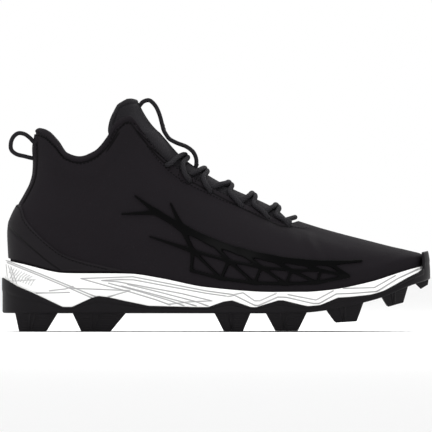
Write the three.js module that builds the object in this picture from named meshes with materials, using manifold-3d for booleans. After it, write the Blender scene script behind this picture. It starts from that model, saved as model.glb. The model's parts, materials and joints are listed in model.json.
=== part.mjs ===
// Mid-top moulded lacrosse cleat, right shoe, as a three.js scene graph of closed solids in millimetres.
// +X points from heel to toe, +Y to the medial side, +Z up; the origin is the centre of the footprint.
import * as THREE from 'three';
import { mergeVertices } from 'three/addons/utils/BufferGeometryUtils.js';
import Module from 'manifold-3d';

const wasm = await Module();
wasm.setup();

// Driving dimensions: the lengths and widths of the last
const SHOE_LENGTH = 296; // back of the sole to the front of the toe bumper
const BALL_WIDTH = 97; // upper at the ball, measured on its feather line
const HEEL_WIDTH = 62; // upper at the heel, measured on its feather line
const COLLAR_WIDTH = 67; // outside of the collar at the ankle
const THROAT_GAP = 37; // between the two eyestay edges
const SIDE_BULGE = 2.6; // how far the side walls swell past a straight wall

// Heights of the upper above the footbed under the heel
const HEEL_TAB_RISE = 108.9;
const COLLAR_RISE = 88.8;
const FLAP_RISE = 117;
const THROAT_END_RISE = 44.7;
const TONGUE_RISE = 130.3;

// The sole, from the floor up
const STUD_HEIGHT = 12.8;
const TOE_SPRING = 23.5; // rise of the plate's underside at the toe
const PLATE_THICKNESS = 3.8;
const PLATE_EDGE_RISE = 10; // measure of the plate's pointed edge
const BUMPER_RISE = 20; // top of the toe bumper above the plate's underside
const MIDSOLE_HEEL_THICKNESS = 15;
const MIDSOLE_RIM_DEPTH = 6; // how deep the upper sits in the midsole's rim, at the ball
const MIDSOLE_FLARE = 4.2; // midsole side outside the feather line
const RIM_THICKNESS = 1.6;
const HEEL_RIM_EXTRA = 1.5; // the rim is thicker round the heel
const PLATE_WRAP = 1.4; // thickness of the plate's edge round the midsole
const PLATE_CHAMFER = 1.4; // on the plate's lower corner
const STUD_WIDTH = 19; // across the shoe, where a stud leaves the plate
const STUD_TIP_WIDTH = 9.5;
const STUD_LEAN = 4.5; // a stud's outer face leans in by this much at its tip
const STUD_RIB = 1.1; // height of the two raised lines on a stud's face
const TIP_SLOPE = 0.22; // of the tips under the toe, from the second raised stud on
const TOE_TIP_SLOPE = 0.5;

// Walls, paddings and laces
const UPPER_WALL = 2;
const COLLAR_PADDING = 3.6;
const EYESTAY_EXTRA = 0.8;
const TONGUE_THICKNESS = 4.5;
const INSOLE_THICKNESS = 4;
const COUNTER_THICKNESS = 1.3;
const WEB_THICKNESS = 1.1;
const STRUT_WIDTH = 5.4; // the overlay's widest strut
const TAPE_THICKNESS = 2.5;
const TAPE_WIDTH = 14;
const HEEL_TAPE_WIDTH = 13;
const HEEL_LOOP_REACH = 16.2; // how far the heel loop stands out behind the heel
const LACE_DIAMETER = 3.4;
const EYELET_RADIUS = 2.1;
const GAP = 0.3; // between pieces that meet
const RIM_CLEARANCE = 0.45; // between the upper's tucked edge and the rim round it

// How finely the shells are divided
const SIDE_STEPS = 30; // from heel to toe on each side
const LACE_SIDES = 6;
const LACE_STEPS = 7;
const EYELET_SIDES = 8;

const between = (a, b, share) => a + (b - a) * share;
const clamp = (v, low, high) => Math.min(high, Math.max(low, v));
const smooth = (from, to, v) => {
  const share = clamp((v - from) / (to - from), 0, 1);
  return share * share * (3 - 2 * share);
};

// A smooth curve through a table's rows that never overshoots them, straight beyond its ends
function curveThrough(rows, key, column) {
  const x = rows.map((row) => row[key]);
  const y = rows.map((row) => row[column]);
  const steep = x.slice(1).map((value, i) => (y[i + 1] - y[i]) / (value - x[i]));
  const slope = x.map((_, i) => {
    if (i === 0) return steep[0];
    if (i === x.length - 1) return steep[i - 1];
    const product = steep[i - 1] * steep[i];
    return product > 0 ? (2 * product) / (steep[i - 1] + steep[i]) : 0;
  });
  return (at) => {
    const v = clamp(at, x[0], x[x.length - 1]);
    let i = x.findIndex((value, k) => k > 0 && v <= value) - 1;
    i = Math.max(i, 0);
    const width = x[i + 1] - x[i];
    const t = (v - x[i]) / width;
    const past = at - v;
    const end = past < 0 ? slope[0] : slope[x.length - 1];
    return (
      (1 + 2 * t) * (1 - t) ** 2 * y[i] +
      t * (1 - t) ** 2 * width * slope[i] +
      t * t * (3 - 2 * t) * y[i + 1] +
      t * t * (t - 1) * width * slope[i + 1] +
      past * end
    );
  };
}

// A polyline through a table's rows, for edges with sharp corners
function linesThrough(rows, key, column) {
  return (at) => {
    let i = rows.findIndex((row, k) => k > 0 && at <= row[key]) - 1;
    if (i < 0) i = at <= rows[0][key] ? 0 : rows.length - 2;
    const [a, b] = [rows[i], rows[i + 1]];
    return between(a[column], b[column], clamp((at - a[key]) / (b[key] - a[key]), 0, 1));
  };
}

// Lengthwise lines of the sole, all as functions of the share of the shoe's length:
// the plate's toe spring, the midsole's thickness and the depth of its rim
const soleRows = [
  { along: 0.0, spring: 0.0, midsole: 1.13, rim: 2.8 },
  { along: 0.05, spring: 0.0, midsole: 1.07, rim: 2.35 },
  { along: 0.15, spring: 0.0, midsole: 1.0, rim: 1.42 },
  { along: 0.3, spring: 0.0, midsole: 0.93, rim: 1.52 },
  { along: 0.37, spring: 0.0, midsole: 0.82, rim: 1.3 },
  { along: 0.475, spring: 0.0, midsole: 0.58, rim: 0.88 },
  { along: 0.59, spring: 0.0, midsole: 0.41, rim: 0.8 },
  { along: 0.7, spring: 0.02, midsole: 0.3, rim: 0.95 },
  { along: 0.77, spring: 0.13, midsole: 0.22, rim: 1.0 },
  { along: 0.845, spring: 0.345, midsole: 0.17, rim: 1.02 },
  { along: 0.88, spring: 0.48, midsole: 0.15, rim: 1.03 },
  { along: 0.95, spring: 0.85, midsole: 0.13, rim: 0.75 },
  { along: 1.0, spring: 1.05, midsole: 0.12, rim: 0.6 },
];
const springAt = curveThrough(soleRows, 'along', 'spring');
const midsoleAt = curveThrough(soleRows, 'along', 'midsole');
const rimAt = curveThrough(soleRows, 'along', 'rim');
const underside = (x) => STUD_HEIGHT + TOE_SPRING * springAt(x / SHOE_LENGTH);
const plateTop = (x) => underside(x) + PLATE_THICKNESS;
const footbed = (x) => plateTop(x) + GAP + MIDSOLE_HEEL_THICKNESS * midsoleAt(x / SHOE_LENGTH);
const rimHeight = (x) => footbed(x) + MIDSOLE_RIM_DEPTH * rimAt(x / SHOE_LENGTH);
const SEAT = footbed(0.15 * SHOE_LENGTH);

// Side profile of the upper: heel line, instep line and top edge. Lengths are shares of the shoe's length.
const heelRows = [
  { up: 0.0, x: 0.0199 },
  { up: 0.138, x: 0.0176 },
  { up: 0.2, x: 0.017 },
  { up: 0.27, x: 0.0186 },
  { up: 0.323, x: 0.0243 },
  { up: 0.4, x: 0.0361 },
  { up: 0.5, x: 0.0537 },
  { up: 0.585, x: 0.0666 },
  { up: 0.662, x: 0.0723 },
  { up: 0.87, x: 0.0753 },
  { up: 1.0, x: 0.0794 },
];
const instepRows = [
  { up: 0.0, x: 0.98, rise: 0.0 },
  { up: 0.041, x: 0.983, rise: 0.13 },
  { up: 0.085, x: 0.98, rise: 0.24 },
  { up: 0.166, x: 0.951, rise: 0.328 },
  { up: 0.298, x: 0.909, rise: 0.42 },
  { up: 0.475, x: 0.853, rise: 0.556 },
  { up: 0.651, x: 0.797, rise: 0.692 },
  { up: 0.829, x: 0.741, rise: 0.84 },
  { up: 1.0, x: 0.688, rise: 1.0 },
];
const topRows = [
  { along: 0.0, x: 0.0794, rise: HEEL_TAB_RISE },
  { along: 0.04, x: 0.0946, rise: between(COLLAR_RISE, HEEL_TAB_RISE, 0.94) },
  { along: 0.09, x: 0.1213, rise: between(COLLAR_RISE, HEEL_TAB_RISE, 0.6) },
  { along: 0.135, x: 0.147, rise: between(COLLAR_RISE, HEEL_TAB_RISE, 0.15) },
  { along: 0.182, x: 0.1818, rise: COLLAR_RISE },
  { along: 0.225, x: 0.2169, rise: between(COLLAR_RISE, FLAP_RISE, 0.13) },
  { along: 0.265, x: 0.2449, rise: between(COLLAR_RISE, FLAP_RISE, 0.46) },
  { along: 0.309, x: 0.267, rise: between(COLLAR_RISE, FLAP_RISE, 0.85) },
  { along: 0.355, x: 0.2983, rise: FLAP_RISE },
  { along: 0.4, x: 0.3264, rise: between(THROAT_END_RISE, FLAP_RISE, 0.87) },
  { along: 0.45, x: 0.356, rise: between(THROAT_END_RISE, FLAP_RISE, 0.7) },
  { along: 0.5, x: 0.3963, rise: between(THROAT_END_RISE, FLAP_RISE, 0.545) },
  { along: 0.6, x: 0.4628, rise: between(THROAT_END_RISE, FLAP_RISE, 0.38) },
  { along: 0.7, x: 0.5304, rise: between(THROAT_END_RISE, FLAP_RISE, 0.235) },
  { along: 0.8, x: 0.5966, rise: between(THROAT_END_RISE, FLAP_RISE, 0.1) },
  { along: 0.88, x: 0.6385, rise: between(THROAT_END_RISE, FLAP_RISE, 0.018) },
  { along: 0.95, x: 0.669, rise: between(THROAT_END_RISE, FLAP_RISE, -0.02) },
  { along: 1.0, x: 0.688, rise: THROAT_END_RISE },
];
const heelX = curveThrough(heelRows, 'up', 'x');
const instepX = curveThrough(instepRows, 'up', 'x');
const instepRise = curveThrough(instepRows, 'up', 'rise');
const topX = curveThrough(topRows, 'along', 'x');
const topRise = curveThrough(topRows, 'along', 'rise');

// Plan of the last: the axis bends to the medial side at the toe, the waist is hollow on the medial side.
// Half widths are shares of the local width, which passes from heel width to ball width.
const planRows = [
  { along: 0.0, axis: 0.0, lateral: 0.5, medial: 0.5 },
  { along: 0.15, axis: 0.0, lateral: 0.5, medial: 0.5 },
  { along: 0.25, axis: 0.0, lateral: 0.508, medial: 0.476 },
  { along: 0.35, axis: -0.003, lateral: 0.474, medial: 0.393 },
  { along: 0.45, axis: -0.006, lateral: 0.453, medial: 0.352 },
  { along: 0.55, axis: 0.0, lateral: 0.475, medial: 0.383 },
  { along: 0.65, axis: 0.008, lateral: 0.503, medial: 0.445 },
  { along: 0.72, axis: 0.018, lateral: 0.505, medial: 0.485 },
  { along: 0.82, axis: 0.042, lateral: 0.475, medial: 0.485 },
  { along: 0.92, axis: 0.072, lateral: 0.445, medial: 0.455 },
  { along: 1.0, axis: 0.094, lateral: 0.43, medial: 0.43 },
];
const axisShare = curveThrough(planRows, 'along', 'axis');
const lateralShare = curveThrough(planRows, 'along', 'lateral');
const medialShare = curveThrough(planRows, 'along', 'medial');
const topWidthRows = [
  { along: 0.2, throat: 0.0 },
  { along: 0.245, throat: 0.1 },
  { along: 0.298, throat: 0.27 },
  { along: 0.345, throat: 0.48 },
  { along: 0.396, throat: 0.7 },
  { along: 0.476, throat: 0.87 },
  { along: 0.6, throat: 1.0 },
];
const throatShare = curveThrough(topWidthRows, 'along', 'throat');

// Rounding of a ring's ends, as shares of the shoe's length and as powers of the superellipse
const HEEL_ROUND = 0.128;
const COLLAR_ROUND = 0.1;
const TOE_ROUND = 0.29;
const THROAT_ROUND = 0.05;
const HEEL_POWER = 2.1;
const TOE_POWER = 2.3;
const roundEnd = (share, power) => (1 - clamp(1 - share, 0, 1) ** power) ** (1 / power);

// A point of the upper's outer face. turn runs round the shoe from the heel (0) by the lateral side
// to the toe (1) and back by the medial side (2); up runs from the feather line (0) to the top edge (1).
function lastPoint(turn, up) {
  if (up > 1) {
    const edge = lastPoint(turn, 1);
    const below = lastPoint(turn, 0.92);
    return edge.clone().add(edge.clone().sub(below).multiplyScalar((up - 1) / 0.08));
  }
  const lateral = turn <= 1;
  const along = 0.5 * (1 - Math.cos(Math.PI * (lateral ? turn : 2 - turn)));
  const backX = heelX(up);
  const frontX = instepX(up);
  const footX = (v) => between(heelX(0), instepX(0), v);
  const xShare =
    (1 - up) * footX(along) + up * topX(along) + (1 - along) * backX + along * frontX -
    (1 - along) * ((1 - up) * footX(0) + up * topX(0)) - along * ((1 - up) * footX(1) + up * topX(1));
  const footZ = (v) => rimHeight(footX(v) * SHOE_LENGTH);
  const toeZ = footZ(1);
  const throatZ = SEAT + THROAT_END_RISE;
  const backZ = between(footZ(0), SEAT + HEEL_TAB_RISE, up);
  const frontZ = between(toeZ, throatZ, instepRise(up));
  const z =
    (1 - up) * footZ(along) + up * (SEAT + topRise(along)) + (1 - along) * backZ + along * frontZ -
    (1 - along) * between(footZ(0), SEAT + HEEL_TAB_RISE, up) - along * between(toeZ, throatZ, up);
  const widthThere = between(HEEL_WIDTH, BALL_WIDTH, smooth(0.25, 0.65, xShare));
  const foot = widthThere * (lateral ? lateralShare : medialShare)(clamp(xShare, 0, 1));
  const throat = clamp(throatShare(xShare), 0, 1);
  const top = between(COLLAR_WIDTH, THROAT_GAP, throat) / 2;
  const swell = SIDE_BULGE * Math.sin(Math.PI * clamp(up / 0.8, 0, 1));
  const wall = top + (foot - top) * (1 - up * up) + swell;
  const heelShare = (xShare - backX) / between(HEEL_ROUND, COLLAR_ROUND, up);
  const toeShare = (frontX - xShare) / between(TOE_ROUND, THROAT_ROUND, up);
  const half = wall * roundEnd(heelShare, HEEL_POWER) * roundEnd(toeShare, TOE_POWER);
  const axis = BALL_WIDTH * axisShare(clamp(xShare, 0, 1));
  return new THREE.Vector3(xShare * SHOE_LENGTH, axis + (lateral ? -half : half), z);
}

// The same point moved square to the surface, outwards where offset is positive
function shellPoint(turn, up, offset) {
  const step = 0.004;
  const before = lastPoint((turn - step + 2) % 2, up);
  const after = lastPoint((turn + step) % 2, up);
  const low = lastPoint(turn, Math.max(up - step, 0));
  const high = lastPoint(turn, Math.max(up - step, 0) + 2 * step);
  const normal = after.sub(before).cross(high.sub(low)).normalize();
  return lastPoint(turn, up).addScaledVector(normal, offset);
}

// A point beside the feather line, moved out in plan and set at a height that depends on its length
function solePoint(turn, offset, heightAt) {
  const step = 0.004;
  const before = lastPoint((turn - step + 2) % 2, 0);
  const after = lastPoint((turn + step) % 2, 0);
  const outward = new THREE.Vector3(after.y - before.y, before.x - after.x, 0).normalize();
  const point = lastPoint(turn, 0).addScaledVector(outward, offset);
  point.z = heightAt(point.x, turn);
  return point;
}

// Meshes from rows of points
class Skin {
  constructor() {
    this.positions = [];
    this.index = [];
  }
  row(points) {
    const start = this.positions.length / 3;
    points.forEach((p) => this.positions.push(p.x, p.y, p.z));
    return points.map((_, i) => start + i);
  }
  quad(a, b, c, d) {
    this.index.push(a, b, c, a, c, d);
  }
  // Joins two rows of equal length; a closed row joins its last point to its first
  strip(rowA, rowB, closed) {
    const count = closed ? rowA.length : rowA.length - 1;
    for (let i = 0; i < count; i += 1) {
      const next = (i + 1) % rowA.length;
      this.quad(rowA[i], rowA[next], rowB[next], rowB[i]);
    }
  }
  // The same faces turned round, split along the same diagonals
  stripBack(rowA, rowB, closed) {
    const count = closed ? rowA.length : rowA.length - 1;
    for (let i = 0; i < count; i += 1) {
      const next = (i + 1) % rowA.length;
      this.quad(rowA[i], rowB[i], rowB[next], rowA[next]);
    }
  }
  // Closes a ring that runs out on one side and back on the other, with quads from side to side
  across(ring, facesUp) {
    const count = ring.length;
    for (let i = 0; i < count / 2; i += 1) {
      const [a, b] = [ring[i], ring[i + 1]];
      const [c, d] = [ring[count - i - 1], ring[(count - i) % count]];
      const corners = [a, b, c, d].filter((v, k, all) => all.indexOf(v) === k);
      if (!facesUp) corners.reverse();
      for (let k = 2; k < corners.length; k += 1) this.index.push(corners[0], corners[k - 1], corners[k]);
    }
  }
  geometry() {
    const made = new THREE.BufferGeometry();
    made.setAttribute('position', new THREE.Float32BufferAttribute(this.positions, 3));
    made.setIndex(this.index);
    return made;
  }
}

// Joining and cutting
function solidOf(geometry) {
  const bare = geometry.clone();
  bare.deleteAttribute('normal');
  bare.deleteAttribute('uv');
  const merged = mergeVertices(bare, 1e-4);
  return new wasm.Manifold(
    new wasm.Mesh({
      numProp: 3,
      vertProperties: merged.attributes.position.array,
      triVerts: new Uint32Array(merged.index.array),
    }),
  );
}
function geometryOf(solid) {
  const mesh = solid.getMesh();
  const made = new THREE.BufferGeometry();
  made.setAttribute('position', new THREE.BufferAttribute(new Float32Array(mesh.vertProperties), 3));
  made.setIndex(new THREE.BufferAttribute(new Uint32Array(mesh.triVerts), 1));
  return made;
}

const ringTurns = Array.from({ length: 2 * SIDE_STEPS }, (_, i) => i / SIDE_STEPS);
const alongOf = (turn) => 0.5 * (1 - Math.cos(Math.PI * (turn <= 1 ? turn : 2 - turn)));
const turnOf = (along) => Math.acos(1 - 2 * along) / Math.PI;

// The upper: one hollow wall, thick at the padded collar, open at the collar, the throat and underneath
const TUCK_LEAN = 0.6; // the tucked edge leans in by this much
const upperRows = [0, 0.08, 0.17, 0.27, 0.38, 0.49, 0.6, 0.7, 0.8, 0.88, 0.94, 1];
const eyeletRows = [
  { along: 0.88, up: 0.885 },
  { along: 0.8, up: 0.9 },
  { along: 0.715, up: 0.91 },
  { along: 0.615, up: 0.92 },
  { along: 0.545, up: 0.925 },
  { along: 0.475, up: 0.93 },
];
function wallAt(turn, up) {
  const along = alongOf(turn);
  const collar = smooth(0.78, 0.9, up) * (1 - smooth(0.2, 0.3, along));
  const eyestay = smooth(0.7, 0.8, up) * smooth(0.3, 0.4, along);
  return UPPER_WALL + COLLAR_PADDING * collar + EYESTAY_EXTRA * eyestay;
}
function eyeletAxis(row, side) {
  const turn = side < 0 ? turnOf(row.along) : 2 - turnOf(row.along);
  const centre = lastPoint(turn, row.up);
  return { turn, centre, normal: shellPoint(turn, row.up, 1).sub(centre) };
}
function makeUpper() {
  const skin = new Skin();
  const seatZ = (x) => footbed(x) + GAP;
  const outer = [ringTurns.map((turn) => solePoint(turn, -TUCK_LEAN, seatZ))];
  const inner = [ringTurns.map((turn) => solePoint(turn, -TUCK_LEAN - UPPER_WALL, seatZ))];
  upperRows.forEach((up) => {
    outer.push(ringTurns.map((turn) => shellPoint(turn, up, 0)));
    inner.push(ringTurns.map((turn) => shellPoint(turn, up, -wallAt(turn, up))));
  });
  const outside = outer.map((points) => skin.row(points));
  const inside = inner.map((points) => skin.row(points));
  for (let i = 0; i + 1 < outside.length; i += 1) {
    skin.strip(outside[i], outside[i + 1], true);
    skin.stripBack(inside[i], inside[i + 1], true);
  }
  skin.strip(inside[0], outside[0], true);
  skin.strip(outside[outside.length - 1], inside[inside.length - 1], true);
  let solid = solidOf(skin.geometry());
  const depth = 6 * UPPER_WALL;
  eyeletRows.forEach((row) => {
    [-1, 1].forEach((side) => {
      const { centre, normal } = eyeletAxis(row, side);
      const punch = new THREE.CylinderGeometry(EYELET_RADIUS, EYELET_RADIUS, depth, EYELET_SIDES);
      punch.applyQuaternion(new THREE.Quaternion().setFromUnitVectors(new THREE.Vector3(0, 1, 0), normal));
      punch.translate(centre.x, centre.y, centre.z);
      solid = solid.subtract(solidOf(punch));
    });
  });
  return geometryOf(solid);
}

// The plate's pointed edge: its rise above the underside, as shares of the plate edge's measure
const plateEdgeRows = [
  { along: 0.0, rise: 2.44 },
  { along: 0.029, rise: 1.89 },
  { along: 0.062, rise: 1.44 },
  { along: 0.128, rise: 0.45 },
  { along: 0.15, rise: 0.43 },
  { along: 0.198, rise: 1.06 },
  { along: 0.215, rise: 1.2 },
  { along: 0.239, rise: 1.11 },
  { along: 0.278, rise: 0.86 },
  { along: 0.338, rise: 0.52 },
  { along: 0.483, rise: 0.42 },
  { along: 0.522, rise: 0.82 },
  { along: 0.542, rise: 0.9 },
  { along: 0.588, rise: 0.43 },
  { along: 0.599, rise: 0.43 },
  { along: 0.65, rise: 0.9 },
  { along: 0.661, rise: 0.89 },
  { along: 0.721, rise: 0.43 },
  { along: 0.746, rise: 0.43 },
  { along: 0.788, rise: 0.76 },
  { along: 0.869, rise: 0.42 },
  { along: 0.884, rise: 0.4 },
  { along: 0.934, rise: 0.58 },
  { along: 0.975, rise: 0.76 },
  { along: 0.986, rise: 0.9 },
];
const plateEdgeAt = linesThrough(plateEdgeRows, 'along', 'rise');
const BUMPER_FROM = 0.986;
const BUMPER_FULL = 0.9905;
const PLATE_OUTSIDE = MIDSOLE_FLARE + GAP + PLATE_WRAP;
function plateEdge(x, turn) {
  const along = alongOf(turn);
  const least = PLATE_THICKNESS + 2 * GAP;
  const points = Math.max(PLATE_EDGE_RISE * plateEdgeAt(along), least);
  return underside(x) + between(points, BUMPER_RISE, smooth(BUMPER_FROM, BUMPER_FULL, along));
}
const NEAREST_TURN = 0.009; // an edge corner nearer than this to a ring's own step takes its place
const cornerTurns = [...plateEdgeRows.map((row) => turnOf(row.along)), turnOf(BUMPER_FULL)];
const sideRing = ringTurns.filter((turn) => turn <= 1);
const freeCorners = cornerTurns.filter((turn) => sideRing.every((step) => Math.abs(step - turn) > NEAREST_TURN));
const soleSideTurns = [...sideRing, ...freeCorners].sort((one, other) => one - other);
const soleTurns = [...soleSideTurns, ...soleSideTurns.slice(1, -1).reverse().map((turn) => 2 - turn)];

// The midsole: a cup whose rim takes the upper's edge, standing in the plate's edge
function rimThickness(turn) {
  return RIM_THICKNESS + HEEL_RIM_EXTRA * (1 - smooth(0, 0.12, alongOf(turn)));
}
const MIDSOLE_STEPS = [
  { down: 0.22, flare: 0.35 },
  { down: 0.3, flare: 0.05 },
  { down: 0.62, flare: 0.7 },
  { down: 0.72, flare: 0.45 },
];
function makeMidsole() {
  const skin = new Skin();
  const bottomZ = (x) => plateTop(x) + GAP;
  const loop = (offset, heightAt) =>
    skin.row(soleTurns.map((turn) => solePoint(turn, typeof offset === 'function' ? offset(turn) : offset, heightAt)));
  const rimOutside = (turn) => RIM_CLEARANCE + rimThickness(turn);
  const rows = [
    loop(-TUCK_LEAN + RIM_CLEARANCE, footbed),
    loop(RIM_CLEARANCE, (x) => rimHeight(x) - 2 * GAP),
    loop(rimOutside, rimHeight),
    ...MIDSOLE_STEPS.map((step) =>
      loop(
        (turn) => between(rimOutside(turn), MIDSOLE_FLARE, step.flare),
        (x) => between(rimHeight(x), bottomZ(x), step.down),
      ),
    ),
    loop(MIDSOLE_FLARE, bottomZ),
  ];
  for (let i = 0; i + 1 < rows.length; i += 1) skin.strip(rows[i + 1], rows[i], true);
  skin.across(rows[0], true);
  skin.across(rows[rows.length - 1], false);
  return skin.geometry();
}

// The insole lies on the midsole inside the upper
function makeInsole() {
  const skin = new Skin();
  const loop = (lift) =>
    skin.row(ringTurns.map((turn) => solePoint(turn, -TUCK_LEAN - UPPER_WALL - GAP, (x) => footbed(x) + lift)));
  const low = loop(GAP);
  const high = loop(GAP + INSOLE_THICKNESS);
  skin.strip(low, high, true);
  skin.across(high, true);
  skin.across(low, false);
  return skin.geometry();
}

// The plate: base, pointed edge, toe bumper and studs in one piece. Studs stand in pairs, one each side;
// top and tip are where a stud starts and ends, as shares of the shoe's length.
const studRows = [
  { top: [0.03, 0.133], tip: [0.0405, 0.1037], lift: 0 },
  { top: [0.163, 0.294], tip: [0.1855, 0.2537], lift: 0 },
  { top: [0.4926, 0.5814], tip: [0.5176, 0.5611], lift: 0 },
  { top: [0.6115, 0.7128], tip: [0.6361, 0.6892], lift: 0.06 },
  { top: [0.7514, 0.8443], tip: [0.7757, 0.826], lift: 0.5 },
  { top: [0.8807, 0.949], tip: [0.898, 0.9348], lift: 1.35 },
];
const TOE_STUD = { top: [0.953, 0.996], tip: [0.972, 0.992], lift: 2.4, width: 30, tipWidth: 20 };
const STUD_ROOT = 1.5; // how deep a stud's root reaches into the plate
const FLAT_LIFT = 0.25; // studs lifted less than this have level tips
function studSection(from, to, outerAt, width, side, zAt, ribHeight) {
  const outerY = (x) => outerAt(x) * side;
  const marks = [0, 0.24, 0.28, 0.36, 0.4, 0.6, 0.64, 0.72, 0.76, 1];
  const raised = [0, 0, 1, 1, 0, 0, 1, 1, 0, 0];
  const outside = marks.map((share, i) => {
    const x = between(from, to, share);
    return new THREE.Vector3(x, outerY(x) + side * ribHeight * raised[i], zAt(x));
  });
  const inside = [0.85, 0.15].map((share) => {
    const x = between(from, to, share);
    return new THREE.Vector3(x, outerY(x) - side * width, zAt(x));
  });
  return [...outside, ...inside];
}
function loft(low, high) {
  const skin = new Skin();
  const bottom = skin.row(low);
  const top = skin.row(high);
  skin.strip(bottom, top, true);
  const cap = (row, points, up) => {
    const flat = points.map((p) => new THREE.Vector2(p.x, p.y));
    const turned = THREE.ShapeUtils.isClockWise(flat) !== up;
    THREE.ShapeUtils.triangulateShape(flat, []).forEach(([a, b, c]) => {
      skin.index.push(...(turned ? [row[a], row[b], row[c]] : [row[c], row[b], row[a]]));
    });
  };
  cap(top, high, true);
  cap(bottom, low, false);
  const made = skin.geometry();
  if (solidOf(made).volume() < 0) {
    skin.index.reverse();
    return skin.geometry();
  }
  return made;
}
function outlineAt(side, offset) {
  const rows = soleSideTurns.map((turn) => {
    const point = solePoint(side < 0 ? turn : (2 - turn) % 2, offset, underside);
    return { x: point.x, y: point.y * side };
  });
  return linesThrough(rows, 'x', 'y');
}
function makePlate() {
  const skin = new Skin();
  const loop = (offset, heightAt) => skin.row(soleTurns.map((turn) => solePoint(turn, offset, heightAt)));
  const rows = [
    loop(PLATE_OUTSIDE - PLATE_CHAMFER, underside),
    loop(PLATE_OUTSIDE, (x) => underside(x) + PLATE_CHAMFER),
    loop(PLATE_OUTSIDE, plateEdge),
    loop(PLATE_OUTSIDE - PLATE_WRAP, plateEdge),
    loop(PLATE_OUTSIDE - PLATE_WRAP, plateTop),
  ];
  for (let i = 0; i + 1 < rows.length; i += 1) skin.strip(rows[i], rows[i + 1], true);
  skin.across(rows[0], false);
  skin.across(rows[rows.length - 1], true);
  let solid = solidOf(skin.geometry());
  const spanOf = (shares) => shares.map((share) => share * SHOE_LENGTH);
  studRows.forEach((row) => {
    [-1, 1].forEach((side) => {
      const [topFrom, topTo] = spanOf(row.top);
      const [tipFrom, tipTo] = spanOf(row.tip);
      const outer = outlineAt(side, PLATE_OUTSIDE - PLATE_CHAMFER);
      const middle = (x) => outer(clamp(x, between(topFrom, topTo, 0.3), topTo));
      const root = studSection(topFrom, topTo, outer, STUD_WIDTH, side, (x) => underside(x) + STUD_ROOT, STUD_RIB);
      const slope = (x) => Math.max(row.lift - FLAT_LIFT, 0) * TIP_SLOPE * (x - tipFrom);
      const tipZ = (x) => STUD_HEIGHT * row.lift + slope(x);
      const tipOuter = (x) => middle(x) - STUD_LEAN;
      const tip = studSection(tipFrom, tipTo, tipOuter, STUD_TIP_WIDTH, side, tipZ, STUD_RIB);
      solid = solid.add(solidOf(loft(tip, root)));
    });
  });
  const toeY = BALL_WIDTH * axisShare(0.97);
  const bar = (shares, width, zAt) => {
    const [from, to] = spanOf(shares);
    return [[from, -1], [to, -0.5], [to, 0.5], [from, 1]].map(
      ([x, half]) => new THREE.Vector3(x, toeY + (half * width) / 2, zAt(x)),
    );
  };
  const toeTipZ = (x) => STUD_HEIGHT * TOE_STUD.lift + TOE_TIP_SLOPE * (x - TOE_STUD.tip[0] * SHOE_LENGTH);
  const toeRoot = bar(TOE_STUD.top, TOE_STUD.width, (x) => underside(x) + STUD_ROOT);
  const toeTip = bar(TOE_STUD.tip, TOE_STUD.tipWidth, toeTipZ);
  solid = solid.add(solidOf(loft(toeTip, toeRoot)));
  return geometryOf(solid);
}

// The tongue: a padded sheet that rises from under the throat's end, wraps the instep and stands above
// the flaps. Each row gives its crest in the side view, and where its middle and its edge lie on the
// upper's inside, as shares along and up the upper (above 1 they stand clear of it).
const tongueRows = [
  { x: 0.706, rise: 0.2824, slip: 2.4, mid: [0.985, 0.86], edge: [0.965, 0.8] },
  { x: 0.689, rise: 0.2962, slip: 2.4, mid: [0.975, 0.93], edge: [0.95, 0.84] },
  { x: 0.668, rise: 0.3454, slip: 1.6, mid: [0.955, 1.0], edge: [0.92, 0.86] },
  { x: 0.64, rise: 0.4037, slip: 1, mid: [0.88, 1.0], edge: [0.88, 0.87] },
  { x: 0.595, rise: 0.4559, slip: 1, mid: [0.8, 1.0], edge: [0.8, 0.87] },
  { x: 0.54, rise: 0.5096, slip: 1, mid: [0.7, 1.0], edge: [0.7, 0.87] },
  { x: 0.477, rise: 0.5894, slip: 1, mid: [0.6, 1.0], edge: [0.6, 0.87] },
  { x: 0.42, rise: 0.68, slip: 1, mid: [0.5, 1.0], edge: [0.48, 0.87] },
  { x: 0.38, rise: 0.7797, slip: 1, mid: [0.425, 1.0], edge: [0.37, 0.89] },
  { x: 0.35, rise: 0.8611, slip: 1, mid: [0.38, 1.0], edge: [0.268, 0.978] },
  { x: 0.331, rise: 0.9256, slip: 1, mid: [0.382, 1.067], edge: [0.286, 1.032] },
  { x: 0.3215, rise: 0.9716, slip: 1, mid: [0.391, 1.152], edge: [0.309, 1.054] },
  { x: 0.3125, rise: 0.989, slip: 1, mid: [0.407, 1.243], edge: [0.333, 1.082] },
];
const TONGUE_SPLIT = 0.42; // share across at which the crest's round meets the flat side
const TONGUE_ACROSS = [0, 0.22, TONGUE_SPLIT, 0.7, 1]; // crest to edge
const TONGUE_SLIP = 1.05; // clearance inside the upper
function tongueFrame(row, side) {
  const at = ([along, up]) => {
    const turn = side < 0 ? turnOf(along) : 2 - turnOf(along);
    const wall = up > 1 ? COLLAR_PADDING + UPPER_WALL : wallAt(turn, up);
    return shellPoint(turn, Math.min(up, 0.999), -wall - TONGUE_SLIP * row.slip).add(
      lastPoint(turn, Math.max(up, 1)).sub(lastPoint(turn, 1)),
    );
  };
  const x = row.x * SHOE_LENGTH;
  const crest = new THREE.Vector3(x, BALL_WIDTH * axisShare(row.x), SEAT + TONGUE_RISE * row.rise);
  return { crest, mid: at(row.mid), edge: at(row.edge) };
}
function tongueSide(row, side) {
  const { crest, mid, edge } = tongueFrame(row, side);
  return TONGUE_ACROSS.map((across) => {
    if (across > TONGUE_SPLIT) return mid.clone().lerp(edge, (across - TONGUE_SPLIT) / (1 - TONGUE_SPLIT));
    const angle = (across / TONGUE_SPLIT) * (Math.PI / 2);
    const point = mid.clone().lerp(crest, Math.cos(angle));
    point.y = between(crest.y, mid.y, Math.sin(angle));
    return point;
  });
}
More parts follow.
